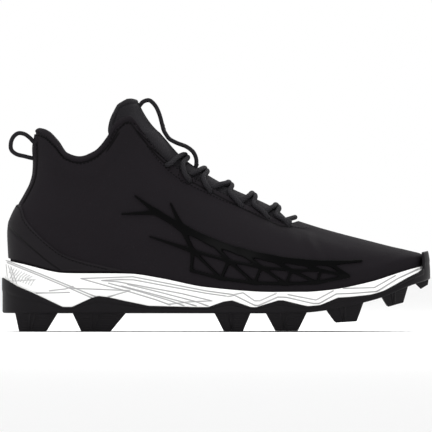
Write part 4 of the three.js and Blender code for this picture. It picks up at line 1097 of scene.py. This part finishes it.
bm = bmesh.new()
for along, up in EYELETS:
    for side in (-1, 1):
        centre, normal = frame_at(side_turn(along, side), up)
        bmesh.ops.create_cone(bm, cap_ends=True, segments=28, radius1=EYELET_RADIUS, radius2=EYELET_RADIUS,
                              depth=PUNCH_LONG, matrix=turned_matrix(centre, normal, (1, 0, 0)))
cut_with(upper, bm)
strip_seam = px((37.6, 143), (37.9, 160), (37, 172), (34.8, 182), (29, 194), (24, 203))
edge_seams = [
    px((37.5, 135), (47, 138.5), (54, 145.5), (60, 153), (65, 158.5), (73, 162), (80, 163), (88, 161.5),
       (96, 157.5), (103.5, 151.5), (107.6, 147.5), (112, 141.7), (118, 131), (125, 123.4), (128, 122.5),
       (132, 124.7), (134, 127.4), (142, 138), (150, 148), (158, 157), (170, 168.5)),
    px((191, 181.5), (206, 189.5), (232, 203), (258, 216), (280, 226), (291, 227)),
    strip_seam,
]
mark_lines(upper, "seam", flap_seams + flap_slot + edge_seams, 0.5)
print("upper after punching:", len(upper.data.polygons), "faces")

# %% [markdown]
# ## Stitches
#
# Each stitch is a tiny rounded bead of thread that lies along its seam, half sunk into the skin. A row of
# them follows a line of places on the upper at an even pitch.


# %% Rows of stitches
def stitch_row(bm, turns, ups, out, pitch=2.6, long=0.95, thick=0.36):
    """Sews along a line of places; out is the height of the skin there. Gives the count."""
    turns, ups = np.array(turns, float), np.array(ups, float)
    fine = np.linspace(0, len(turns) - 1, 40 * len(turns))
    turns = np.interp(fine, np.arange(len(turns)), turns)
    ups = np.interp(fine, np.arange(len(ups)), ups)
    outs = np.broadcast_to(out(turns % 2, ups) if callable(out) else out, turns.shape)
    points = skin_point(turns % 2, ups, outs)
    normals = skin_normal(turns % 2, ups)
    walked = np.concatenate([[0], np.cumsum(np.linalg.norm(np.diff(points, axis=0), axis=1))])
    count = max(int(walked[-1] / pitch), 1)
    for k in range(count):
        i = int(np.searchsorted(walked, (k + 0.5) * walked[-1] / count))
        i = min(max(i, 1), len(points) - 2)
        size = (long, thick, thick * 0.8)
        matrix = turned_matrix(points[i], normals[i], points[i + 1] - points[i - 1], size)
        bmesh.ops.create_icosphere(bm, subdivisions=2, radius=1.0, matrix=matrix)
    return count


def ups_inside(turns, low, top, distance, steps):
    """How far up each turn a line lies that keeps its distance from the line at top."""
    turns = turns % 2
    high, edge = top, last_point(turns, top)
    for _ in range(steps):
        middle = (low + high) / 2
        far = np.linalg.norm(edge - last_point(turns, middle), axis=-1) > distance
        low, high = np.where(far, middle, low), np.where(far, high, middle)
    return (low + high) / 2


def ups_at_distance(turns, distance):
    return ups_inside(turns, np.full(len(turns), 0.5), np.ones(len(turns)), distance, 18)


def on_both_sides(places, side):
    """Turns and ups of places on the outer side, mirrored for the inner one."""
    turns = np.array([turn if side < 0 else 2 - turn for turn, _ in places])
    return turns, [up for _, up in places]


def relief_only(turns, ups):
    return upper_relief(turns, ups)[0]


def oval_line(centre, long, high, tilt, count=24):
    """A tilted oval in the side view."""
    line = []
    for k in range(count + 1):
        angle = 2 * math.pi * k / count
        a, b = long * math.cos(angle), high * math.sin(angle)
        line.append((centre[0] + a * math.cos(tilt) - b * math.sin(tilt),
                     centre[1] + a * math.sin(tilt) + b * math.cos(tilt)))
    return line


COLLAR_SEAM, STAY_SEAMS = 5.2, (2.0, 11.6)  # from the top edge
OVAL_CENTRE, OVAL_LONG, OVAL_HIGH, OVAL_TILT = (187.5, 177), 9.3, 7.0, math.radians(20)
bm = bmesh.new()
total = 0
collar_turns = np.linspace(-turn_of(0.37), turn_of(0.37), 121)
total += stitch_row(bm, collar_turns, ups_at_distance(collar_turns, COLLAR_SEAM), relief_only)
throat = np.linspace(0.4, 0.965, 60)
strip = [on_side(*point) for point in strip_seam]
oval = [on_side(*point) for point in px(*oval_line(OVAL_CENTRE, OVAL_LONG, OVAL_HIGH, OVAL_TILT))]
for side in (-1, 1):
    turns = turn_of(throat) if side < 0 else 2 - turn_of(throat)
    for distance in STAY_SEAMS:
        total += stitch_row(bm, turns, ups_at_distance(turns, distance), relief_only, pitch=2.4, long=0.8)
    total += stitch_row(bm, *on_both_sides(strip, side), relief_only)
    total += stitch_row(bm, *on_both_sides(oval, side), relief_only, pitch=2.3, long=0.75)
print("stitches on the upper:", total)
finish_piece("upper_stitches", bm, [thread])

# %% [markdown]
# ## Heel counter
#
# A moulded skin round the heel, glued and stitched over the upper. Its upper edge sweeps down from the back
# to the midsole, so a grid is bent over the heel whose top row follows that line. A second seam runs inside
# it, and its edge is thinned.

# %% Counter mesh
COUNTER_FOOT, COUNTER_THICK = 0.012, 1.2
counter_up = curve_through(
    [0.0, 0.008, 0.04, 0.077, 0.11, 0.145, 0.19, 0.27], [0.42, 0.417, 0.33, 0.26, 0.2, 0.135, 0.085, 0.02]
)
COUNTER_REACH = float(turn_of(0.27))
inner_seam = [px((11.2, 227), (16.3, 233.3), (29.6, 245.5), (43.9, 257.8), (53, 264.9), (60, 269.5))]
EDGE_GROOVE = (2.0, -0.3, 0.7)  # from the counter's edge, height and width
COUNTER_COLUMNS, COUNTER_ROWS = 200, 60


def counter_turn_up(u, v):
    turn = (2 * u - 1) * COUNTER_REACH
    top = counter_up(along_of(np.abs(turn)))
    return turn % 2, between(COUNTER_FOOT, top, v)


def counter_sheet(outside):
    def place(u, v):
        turn, up = counter_turn_up(u, v)
        base = last_point(turn, up)
        to_edge = np.linalg.norm(last_point(turn, counter_turn_up(u, 1 + 0 * v)[1]) - base, axis=-1)
        to_foot = np.linalg.norm(last_point(turn, COUNTER_FOOT + 0 * up) - base, axis=-1)
        thin = np.minimum(smooth(0, 1.4, to_edge) ** 0.5, smooth(0, 0.6, to_foot) ** 0.5)
        thin *= smooth(0, 0.02, np.minimum(u, 1 - u)) ** 0.5
        out = GAP + COUNTER_THICK * thin
        seam = line_distance(base[..., 0], base[..., 2], inner_seam)
        out = out + bump_at(seam, -0.5, 0.6) + form_at(to_edge, EDGE_GROOVE)
        return skin_point(turn, up, out if outside else GAP + 0 * out)

    return place


bm = bmesh.new()
for outside in (True, False):
    bend_grid(bm, COUNTER_COLUMNS, COUNTER_ROWS, counter_sheet(outside))
counter = finish_piece("heel_counter_skin", bm, [counter_skin], ["heel_counter"], sharp=60)
mark_lines(counter, "seam", inner_seam, 0.45)


# %% Counter stitches
def counter_line(inward, span=0.93):
    u = np.linspace(0.5 - span / 2, 0.5 + span / 2, 120)
    turn = (2 * u - 1) * COUNTER_REACH
    top = counter_up(along_of(np.abs(turn)))
    return turn, ups_inside(turn, np.full(len(u), COUNTER_FOOT), top, inward, 16)


bm = bmesh.new()
sunk_stitch = GAP + COUNTER_THICK - 0.25
print("stitches on the counter:", stitch_row(bm, *counter_line(EDGE_GROOVE[0]), sunk_stitch))
finish_piece("counter_stitches", bm, [thread])

# %% [markdown]
# ## Tongue
#
# A padded sheet that rises from under the throat, wraps the instep and stands above the flaps. Thirteen
# sections are known from the solid; a smooth blend between them gives the dense sheet, and its two faces
# come together in a round edge. Its rim is bound, and the middle is a little fuller than the sides.

# %% Tongue sections
TONGUE_ROWS = [  # x, rise, slip, middle along, middle up, edge along, edge up
    (0.706, 0.2824, 2.4, 0.985, 0.86, 0.965, 0.8), (0.689, 0.2962, 2.4, 0.975, 0.93, 0.95, 0.84),
    (0.668, 0.3454, 1.6, 0.955, 1.0, 0.92, 0.86), (0.64, 0.4037, 1, 0.88, 1.0, 0.88, 0.87),
    (0.595, 0.4559, 1, 0.8, 1.0, 0.8, 0.87), (0.54, 0.5096, 1, 0.7, 1.0, 0.7, 0.87),
    (0.477, 0.5894, 1, 0.6, 1.0, 0.6, 0.87), (0.42, 0.68, 1, 0.5, 1.0, 0.48, 0.87),
    (0.38, 0.7797, 1, 0.425, 1.0, 0.37, 0.89), (0.35, 0.8611, 1, 0.38, 1.0, 0.268, 0.978),
    (0.331, 0.9256, 1, 0.382, 1.067, 0.286, 1.032), (0.3215, 0.9716, 1, 0.391, 1.152, 0.309, 1.054),
    (0.3125, 0.989, 1, 0.407, 1.243, 0.333, 1.082),
]
TONGUE_SPLIT, TONGUE_SLIP, TONGUE_THICK = 0.42, 1.05, 4.5


def tongue_frame(row, side):
    x, rise, slip = row[:3]

    def at(along, up):
        turn = np.array([side_turn(along, side)])
        wall = PADDING + WALL if up > 1 else float(wall_at(turn, np.array([up]))[0])
        point = skin_point(turn, np.array([min(up, 0.999)]), np.array([-wall - TONGUE_SLIP * slip]))
        point += last_point(turn, np.array([max(up, 1.0)])) - last_point(turn, np.array([1.0]))
        return point[0]

    crest = np.array([x * LENGTH, BALL * float(axis_share(x)), SEAT + TONGUE_TOP * rise])
    return crest, at(row[3], row[4]), at(row[5], row[6])


tongue_frames = [{side: tongue_frame(row, side) for side in (-1, 1)} for row in TONGUE_ROWS]


def tongue_across(frames, share):
    """A section's point: share runs from the outer edge (-1) over the crest (0) to the inner edge (1)."""
    crest, middle, edge = frames[-1 if share < 0 else 1]
    across = abs(share)
    if across > TONGUE_SPLIT:
        return middle + (edge - middle) * (across - TONGUE_SPLIT) / (1 - TONGUE_SPLIT)
    angle = across / TONGUE_SPLIT * math.pi / 2
    point = middle + (crest - middle) * math.cos(angle)
    point[1] = crest[1] + (middle[1] - crest[1]) * math.sin(angle)
    return point


def blend_rows(rows, count):
    """Catmull-Rom through a list of equal rows of points."""
    rows = np.array(rows)
    where = np.linspace(0, len(rows) - 1, count)
    i = np.clip(where.astype(int), 0, len(rows) - 2)
    t = (where - i).reshape((-1,) + (1,) * (rows.ndim - 1))
    before, a, b = rows[np.maximum(i - 1, 0)], rows[i], rows[i + 1]
    after = rows[np.minimum(i + 2, len(rows) - 1)]
    return 0.5 * (2 * a + (b - before) * t + (2 * before - 5 * a + 4 * b - after) * t**2
                  + (3 * a - before - 3 * b + after) * t**3)


TONGUE_COLUMNS, TONGUE_LONG = 72, 170
shares = np.linspace(-1, 1, TONGUE_COLUMNS + 1)
tongue_grid = blend_rows([[tongue_across(f, s) for s in shares] for f in tongue_frames], TONGUE_LONG + 1)
for _ in range(6):
    smoothed = tongue_grid.copy()
    smoothed[:, 1:-1] = 0.5 * tongue_grid[:, 1:-1] + 0.25 * (tongue_grid[:, :-2] + tongue_grid[:, 2:])
    tongue_grid = smoothed
TIP_FROM = 118
for _ in range(110):  # the free end is cut to a round outline, so its border is eased along itself
    g = tongue_grid[TIP_FROM:]
    eased = g.copy()
    lengthways, sideways = g[:-2, 1:-1] + g[2:, 1:-1], g[1:-1, :-2] + g[1:-1, 2:]
    eased[1:-1, 1:-1] = 0.5 * g[1:-1, 1:-1] + 0.15 * lengthways + 0.1 * sideways
    for j in (0, -1):
        eased[1:-1, j] = 0.5 * g[1:-1, j] + 0.25 * (g[:-2, j] + g[2:, j])
        eased[-1, j] = 0.5 * g[-1, j] + 0.25 * (g[-2, j] + g[-1, 1 if j == 0 else -2])
    eased[-1, 1:-1] = 0.7 * g[-1, 1:-1] + 0.15 * (g[-1, :-2] + g[-1, 2:])
    tongue_grid[TIP_FROM:] = eased
tongue_normals = unit(np.cross(np.gradient(tongue_grid, axis=1), np.gradient(tongue_grid, axis=0)))
if tongue_normals[TONGUE_LONG // 2, TONGUE_COLUMNS // 2, 2] < 0:
    tongue_normals = -tongue_normals
print("tongue sheet:", tongue_grid.shape)

# %% Tongue mesh
steps_across = np.linalg.norm(np.diff(tongue_grid, axis=1, prepend=tongue_grid[:, :1]), axis=-1)
to_side = np.minimum(np.cumsum(steps_across, axis=1), np.cumsum(steps_across[:, ::-1], axis=1)[:, ::-1])
to_tip = np.linalg.norm(tongue_grid - tongue_grid[-1:], axis=-1)
to_rim = np.minimum(to_side, to_tip)
RIM_GROOVE, RIM_PAD = (4.6, -0.55, 0.8), (2.4, 0.15, 1.2)  # from the rim, height and width


def tongue_sheet(outside):
    def place(u, v):
        i = np.rint(v * TONGUE_LONG).astype(int)
        j = np.rint(u * TONGUE_COLUMNS).astype(int)
        rim = np.minimum(to_rim[i, j], np.linalg.norm(tongue_grid[i, j] - tongue_grid[0, j], axis=-1))
        t = np.clip(1 - rim / (TONGUE_THICK / 2), 0, 1)
        roll = TONGUE_THICK / 2 * (1 - np.sqrt(np.maximum(1 - t * t, 0)))
        shown = smooth(0.55, 0.65, v)
        relief = shown * (form_at(to_rim[i, j], RIM_GROOVE) + form_at(to_rim[i, j], RIM_PAD))
        relief *= smooth(0, 2, rim)
        out = relief - roll if outside else -TONGUE_THICK + roll
        return tongue_grid[i, j] + tongue_normals[i, j] * out[..., None]

    return place


bm = bmesh.new()
bend_grid(bm, TONGUE_COLUMNS, TONGUE_LONG, tongue_sheet(True), 0)
bend_grid(bm, TONGUE_COLUMNS, TONGUE_LONG, tongue_sheet(False), 1)
finish_piece("tongue_pad", bm, [tongue_cloth, lining], ["tongue"], sharp=60)

# %% [markdown]
# ## Pull loops
#
# Both loops are flat woven tape, folded and sewn down at their ends. The tape is a ring with a rounded
# oblong section that follows a path in the side view, so its weave runs along it in the UV map.


# %% Tape along a path
TAPE_SIDES, TAPE_ROWS = 36, 150


def tape_ring(width, thick):
    """Round a tape's section, an oblong with soft corners."""
    points = []
    for k in range(TAPE_SIDES):
        angle = 2 * math.pi * k / TAPE_SIDES
        c, s = math.cos(angle), math.sin(angle)
        wide, high = math.copysign(abs(c) ** 0.35, c), math.copysign(abs(s) ** 0.6, s)
        points.append((wide * width / 2, high * thick / 2))
    return np.array(points)


def add_tape(bm, path, width, thick, centre_y, rows=TAPE_ROWS):
    line = blend_rows([np.array([x, 0.0, z]) for x, z in path], rows + 1)
    line[:, 1] = centre_y
    along = unit(np.gradient(line, axis=0))
    face = np.stack([-along[:, 2], 0 * along[:, 1], along[:, 0]], -1)
    ring = tape_ring(width, thick)

    def place(u, v):
        i = np.rint(v * rows).astype(int)
        k = np.rint(u * len(ring)).astype(int) % len(ring)
        point = line[i] + face[i] * ring[k, 1][..., None]
        point[..., 1] += ring[k, 0]
        return point

    bend_grid(bm, len(ring), rows, place)
    close_ends(bm)
    return line


def sew_box(bm, centre, normal, along, wide, long, pitch=1.9):
    """A box of stitches on a tape."""
    across = np.cross(normal, along)
    corners = [(-1, -1), (1, -1), (1, 1), (-1, 1), (-1, -1)]
    for (ax, ay), (bx, by) in zip(corners[:-1], corners[1:]):
        a = centre + along * ax * long / 2 + across * ay * wide / 2
        b = centre + along * bx * long / 2 + across * by * wide / 2
        count = max(int(np.linalg.norm(b - a) / pitch), 1)
        for k in range(count):
            middle = a + (b - a) * (k + 0.5) / count
            bmesh.ops.create_icosphere(bm, subdivisions=2, radius=1.0,
                                       matrix=turned_matrix(middle, normal, b - a, (0.7, 0.3, 0.25)))


# %% Tongue loop and lace keeper
STRAP_ROWS = [  # x, rise
    (0.3165, 0.9365), (0.3215, 0.953), (0.329, 0.9716), (0.3403, 0.98), (0.3492, 0.9716), (0.3594, 0.944),
    (0.3669, 0.9059), (0.372, 0.8646), (0.3767, 0.8233), (0.3821, 0.8), (0.3912, 0.774), (0.4086, 0.7529),
    (0.4301, 0.7338), (0.4455, 0.7063), (0.4525, 0.6718), (0.453, 0.641), (0.4505, 0.618),
]
TAPE_THICK, TAPE_WIDE, HEEL_TAPE_WIDE = 2.9, 14.0, 13.0
strap_path = [(x * LENGTH, SEAT + TONGUE_TOP * rise) for x, rise in STRAP_ROWS]
bm = bmesh.new()
strap_y = BALL * float(axis_share(0.35))
strap_line = add_tape(bm, strap_path, TAPE_WIDE, TAPE_THICK, strap_y)
finish_piece("tongue_loop_tape", bm, [tape_weave], ["tongue_strap"], sharp=50)

# %% Heel loop
LOOP_REACH = 16.2
LOOP_ROWS = [  # down from the tab, back from the heel
    (0.68, -0.06), (0.58, 0.07), (0.444, 0.21), (0.284, 0.457), (0.247, 0.728), (0.407, 0.92), (0.667, 1.0),
    (0.951, 0.963), (1.136, 0.741), (1.228, 0.395), (1.302, 0.085), (1.33, -0.1),
]
loop_path = []
for drop, back in LOOP_ROWS:
    up = 1 - LOOP_REACH * drop / (HEEL_TAB + SEAT - float(rim_height(0.0)))
    loop_path.append((float(heel_x(up)) * LENGTH - LOOP_REACH * back, SEAT + HEEL_TAB - LOOP_REACH * drop))
bm = bmesh.new()
add_tape(bm, loop_path, HEEL_TAPE_WIDE, TAPE_THICK, 0.0)
finish_piece("heel_loop_tape", bm, [tape_weave], ["heel_pull_loop"], sharp=50)

# %% Sewn boxes on the tongue loop
SEWN_ROWS, BOX_WIDE, BOX_LONG = (72, 5, 145), 9.5, 4.0
bm = bmesh.new()
for index in SEWN_ROWS:
    along = unit(strap_line[min(index + 3, TAPE_ROWS)] - strap_line[max(index - 3, 0)])
    face = np.array([-along[2], 0, along[0]])
    sew_box(bm, strap_line[index] + face * TAPE_THICK * 0.5, face, along, BOX_WIDE, BOX_LONG)
finish_piece("loop_stitches", bm, [thread])

# %% [markdown]
# ## Laces
#
# A round braided lace. At each crossing two runs come up out of the lower eyelets, pass over the tongue and
# slip under the opposite edge to the next eyelets; the lowest run is a plain bar. Every run is a tube swept
# along one smooth path, and its ends go back into the shoe.


# %% Points over the tongue
def tongue_point(along, across, lift):
    middles = [row[3] for row in TONGUE_ROWS]

    def place(where, over):
        index = next((k for k, m in enumerate(middles) if m <= where), len(middles) - 1)
        a, b = max(index - 1, 0), max(index, 1)
        share = min(max((where - middles[a]) / (middles[b] - middles[a]), 0), 1)
        points = [tongue_across(tongue_frames[k], over * TONGUE_SPLIT if over else 1e-9) for k in (a, b)]
        return points[0] + (points[1] - points[0]) * share

    sideways = place(along, across + 0.02) - place(along, across - 0.02)
    lengthways = place(along - 0.02, across) - place(along + 0.02, across)
    return place(along, across) + unit(np.cross(sideways, lengthways)) * lift


def eyelet_point(row, side, out):
    along, up = EYELETS[row]
    turn = np.array([side_turn(along, side)])
    return skin_point(turn, np.array([up]), np.array([float(out)]))[0]


# %% Lace runs
LACE = 3.4
CLEAR = LACE / 2 + 0.35  # from the tongue to the middle of a lace that lies on it
BAR_AT, BAR_LIFT = 0.96, 2.6
CROSSINGS = [0.875, 0.777, 0.68, 0.588, 0.508]
OVER = 0.9  # how many laces high the upper run passes over the lower one
LOWER_RUN = [(0.011, -0.3, 0), (0.0068, 0, 0), (0.002, 0.35, 0), (-0.003, 0.6, 0)]  # ahead, across, lift
UPPER_RUN = [(0.004, 0.6, OVER), (-0.002, 0.35, 0.6 * OVER), (-0.0068, 0, 0.1), (-0.011, -0.3, 0)]


def out_of_eyelet(row, side, crest):
    along, up = EYELETS[row]
    beside = between(along, crest, 0.35)
    turn = np.array([side_turn(beside, side)])
    wall = float(wall_at(turn, np.array([up]))[0])
    return [
        eyelet_point(row, side, -wall - 1.0),
        eyelet_point(row, side, 0.4),
        skin_point(turn, np.array([between(up, 1.0, 0.45)]), np.array([LACE / 2 + 0.5]))[0],
        tongue_point(between(along, crest, 0.6), 0.72 * side, CLEAR + 0.5),
    ]


def under_edge(row, side, crest):
    along = EYELETS[row][0]
    return [
        tongue_point(between(along, crest, 0.25), 1.0 * side, -0.4),
        tongue_point(between(along, crest, 0.4), 0.9 * side, LACE / 2 + 0.1),
        tongue_point(between(along, crest, 0.62), 0.62 * side, CLEAR + 0.3),
    ]


def lace_paths():
    """Name, node and points of each run, from the bar up."""
    low, high = out_of_eyelet(0, -1, BAR_AT), out_of_eyelet(0, 1, BAR_AT)
    runs = [("lace_bar_run", "lace_bar", low + [tongue_point(BAR_AT, 0, CLEAR + BAR_LIFT)] + high[::-1])]
    for k, crest in enumerate(CROSSINGS):
        for side in (-1, 1):
            start = out_of_eyelet(k, side, crest)
            topmost = k == len(CROSSINGS) - 1
            end = out_of_eyelet(k + 1, -side, crest) if topmost else under_edge(k + 1, -side, crest)
            middle = []
            for ahead, across, lift in LOWER_RUN if side < 0 else UPPER_RUN:
                middle.append(tongue_point(crest + ahead, across, CLEAR + lift * LACE))
            name = "lace_run_%d_%s" % (k + 1, "outer" if side < 0 else "inner")
            runs.append((name, "lace_crossing_%d" % (k + 1), start + middle + end[::-1]))
    return runs


def add_cord(bm, points, diameter, sides=18, step=0.7):
    line = blend_rows(points, 400)
    walked = np.concatenate([[0], np.cumsum(np.linalg.norm(np.diff(line, axis=0), axis=1))])
    rows = int(walked[-1] / step)
    even = np.linspace(0, walked[-1], rows + 1)
    line = np.stack([np.interp(even, walked, line[:, k]) for k in range(3)], -1)
    for _ in range(3):
        line[1:-1] = 0.5 * line[1:-1] + 0.25 * (line[:-2] + line[2:])
    along = unit(np.gradient(line, axis=0))
    up = np.zeros_like(line)
    up[0] = unit(np.cross(along[0], [0.3, 1.0, 0.2]))
    for k in range(1, len(line)):
        up[k] = unit(up[k - 1] - along[k] * np.dot(up[k - 1], along[k]))
    beside = np.cross(along, up)

    def place(u, v):
        i = np.rint(v * rows).astype(int)
        angle = 2 * np.pi * (np.rint(u * sides) % sides) / sides
        radius = diameter / 2
        return line[i] + radius * (up[i] * np.cos(angle)[..., None] + beside[i] * np.sin(angle)[..., None])

    bend_grid(bm, sides, rows, place)
    close_ends(bm)
    return line, float(np.linalg.norm(np.diff(line, axis=0), axis=1).sum())


lace_total = 0
for name, node, points in lace_paths():
    bm = bmesh.new()
    line, length = add_cord(bm, points, LACE)
    run = finish_piece(name, bm, [lace_braid], [node], sharp=70)
    path = to_row(line)
    lace_total += length
print("visible lace: %.0f mm" % lace_total)

# %% [markdown]
# ## Openwork overlay
#
# A glossy film web over the outer side, of struts that melt into each other where they meet. The struts are
# laid out flat in the side view as tapered bars, a voxel remesh fuses them, smoothing rounds their meeting
# points, and then every point is carried onto the upper at its own height above the skin.

# %% Web laid flat
KNOTS = {
    "tipHigh": (0.325, 0.5), "tipRear": (0.29, 0.4), "tipTop": (0.43, 0.55), "tipLow": (0.36, 0.24),
    "a0": (0.385, 0.42), "a1": (0.455, 0.41), "a2": (0.53, 0.37), "a3": (0.6, 0.33), "a4": (0.67, 0.3),
    "a5": (0.74, 0.28), "a6": (0.81, 0.25), "a7": (0.885, 0.21), "b1": (0.47, 0.25), "b2": (0.555, 0.22),
    "b3": (0.63, 0.19), "b4": (0.7, 0.17), "b5": (0.77, 0.165), "c0": (0.44, 0.08), "c1": (0.51, 0.06),
    "c2": (0.59, 0.05), "c3": (0.665, 0.05), "c4": (0.74, 0.055), "c5": (0.815, 0.075),
}
STRUTS = """tipHigh a0 .8 3.6, tipRear a0 .8 3.2, tipTop a1 .8 3.6, tipLow b1 .8 3, a0 a1 3.6 4.4,
a1 a2 4.4 4.6, a2 a3 4.6 4.4, a3 a4 4.4 4, a4 a5 4 3.6, a5 a6 3.6 3, a6 a7 3 1.2, a1 b1 3 2.4, b1 c0 2.4 1.6,
b1 b2 2 2, b1 c1 2 1.6, a2 b2 2.8 2.2, b2 c1 2.2 1.6, b2 b3 1.8 1.8, b2 c2 2.2 1.6, a3 b3 2.8 2.2,
b3 c2 1.8 1.6, b3 c3 2.2 1.6, a4 b4 2.6 2, b3 b4 1.6 1.6, b4 c3 1.8 1.6, b4 c4 2 1.6, a5 b5 2.4 2,
b4 b5 1.6 1.6, b5 c4 1.6 1.4, b5 c5 2 1.6, a6 c5 2.4 2, c0 c1 1.8 2, c1 c2 2 2, c2 c3 2 2, c3 c4 2 2,
c4 c5 2 2"""
WEB_THICK, WEB_BOLD, WAIST = 1.1, 1.3, 0.2
BARS, FLAT_THICK, SPARE = 10, 1.6, 0.12  # bars to a strut, their thickness, how far their joints stick out
VOXEL, EASING_STEPS = 0.0004, 8


def flat_place(knot):
    along, up = KNOTS[knot]
    return last_point(np.array([float(turn_of(along))]), np.array([up]))[0][[0, 2]]


bm = bmesh.new()
for strut in STRUTS.replace("\n", " ").split(","):
    first, last, from_width, to_width = strut.split()
    a, b = flat_place(first), flat_place(last)
    along = (b - a) / np.linalg.norm(b - a)
    for k in range(BARS + 1):
        share = k / BARS
        middle = a + (b - a) * share
        wide = WEB_BOLD * between(float(from_width), float(to_width), share)
        wide *= 1 - WAIST * math.sin(math.pi * share)
        radius = wide / 2 + SPARE
        joint = turned_matrix((*middle, 0), (0, 0, 1), (1, 0, 0))
        bmesh.ops.create_cone(bm, cap_ends=True, segments=20, radius1=radius, radius2=radius, depth=FLAT_THICK,
                              matrix=joint)
        if k < BARS:
            ahead = a + (b - a) * (k + 1) / BARS
            size = (np.linalg.norm(ahead - middle), wide, FLAT_THICK)
            bar = turned_matrix((*(middle + ahead) / 2, 0), (0, 0, 1), (*along, 0), size)
            bmesh.ops.create_cube(bm, size=1.0, matrix=bar)
web = new_object("web_film", mesh_of("web_flat", bm))
fuse = web.modifiers.new("fuse", "REMESH")
fuse.mode, fuse.voxel_size = "VOXEL", VOXEL
soften = web.modifiers.new("soften", "SMOOTH")
soften.factor, soften.iterations = 0.5, EASING_STEPS
fused = with_modifiers(web)
print("fused web:", len(fused.vertices), "points")

# %% Web carried onto the upper
WEB_FOOT = 0.3 * GAP  # from the skin to the film's back
flat_points = points_of(fused)
web_turns = np.linspace(float(turn_of(0.25)), float(turn_of(0.94)), 640)[:, None]
web_ups = np.linspace(0.0, 0.65, 330)[None, :]
web_table = last_point(web_turns + 0 * web_ups, web_ups + 0 * web_turns)
tree = KDTree(web_table.shape[0] * web_table.shape[1])
for index, (x, _, z) in enumerate(web_table.reshape(-1, 3)):
    tree.insert((x, z, 0), index)
tree.balance()
found = np.array([tree.find((x, y, 0))[1] for x, y, _ in flat_points])
turn = web_turns[found // web_table.shape[1], 0]
up = web_ups[0, found % web_table.shape[1]]
for _ in range(2):
    here = last_point(turn, up)
    d_turn = (last_point(turn + NUDGE, up) - here) / NUDGE
    d_up = (last_point(turn, up + NUDGE) - here) / NUDGE
    miss_x, miss_z = flat_points[:, 0] - here[:, 0], flat_points[:, 1] - here[:, 2]
    det = d_turn[:, 0] * d_up[:, 2] - d_up[:, 0] * d_turn[:, 2]
    turn = turn + np.clip((miss_x * d_up[:, 2] - d_up[:, 0] * miss_z) / det, -0.01, 0.01)
    up = np.clip(up + np.clip((d_turn[:, 0] * miss_z - miss_x * d_turn[:, 2]) / det, -0.01, 0.01), 0, 1)
depth = flat_points[:, 2] - SHIFT[2]
height = (depth - depth.min()) / (depth.max() - depth.min())
web_points = to_row(skin_point(turn, up, WEB_FOOT + (WEB_THICK + 0.2) * height))
fused.vertices.foreach_set("co", web_points.astype(np.float32).ravel())
fused.update()
bm = bmesh.new()
bm.from_mesh(fused)
bpy.data.objects.remove(web)
finish_piece("web_film", bm, [gloss_film], ["web_overlay"], sharp=70, weld=1e-8)

# %% [markdown]
# ## Floor, light and camera
#
# A pale floor without walls, so that the shoe can be looked at from all round, one large soft light above,
# one to each side, and a white surround, as for a catalogue picture. The camera looks square at the outer
# side through a long lens.

# %% Floor
bm = bmesh.new()
bmesh.ops.create_grid(bm, x_segments=4, y_segments=4, size=9.0)
floor = new_object("studio_floor", mesh_of("studio_floor", bm))
floor_paint, tree, shader = new_material("floor_paint", (0.92, 0.92, 0.92), 0.9)
shader.inputs["Specular IOR Level"].default_value = 0.1
floor.data.materials.append(floor_paint)


# %% Lights and surround
def soft_light(name, place, aim, size, power):
    lamp = bpy.data.lights.new(name, "AREA")
    lamp.shape, lamp.size, lamp.size_y, lamp.energy = "RECTANGLE", size[0], size[1], power
    holder = new_object(name, lamp)
    holder.location = place
    holder.rotation_euler = (Vector(aim) - Vector(place)).to_track_quat("-Z", "Y").to_euler()


soft_light("top_light", (0.1, -0.3, 1.6), (0, 0, 0.05), (1.8, 1.2), 16)
soft_light("side_light", (-0.9, -1.5, 0.9), (0, 0, 0.06), (0.9, 0.9), 7)
soft_light("rear_light", (0.8, 1.1, 0.9), (0, 0, 0.08), (0.8, 0.6), 6)
world = bpy.data.worlds.new("surround")
world.use_nodes = True
world.node_tree.nodes["Background"].inputs["Color"].default_value = (1, 1, 1, 1)
world.node_tree.nodes["Background"].inputs["Strength"].default_value = 1.0
bpy.context.scene.world = world
bpy.context.scene.view_settings.view_transform = "Standard"

# %% Camera
AWAY, VIEW_WIDE, SENSOR = 10.0, 0.2981, 36  # metres to the shoe, metres that fit across, and the sensor's mm
camera_data = bpy.data.cameras.new("camera")
camera_data.lens = SENSOR * AWAY / VIEW_WIDE
camera_data.clip_end = 50
camera = new_object("camera", camera_data)
camera.location = (-0.0003, -AWAY, 0.0797)
camera.rotation_euler = (math.pi / 2, 0, 0)
bpy.context.scene.camera = camera
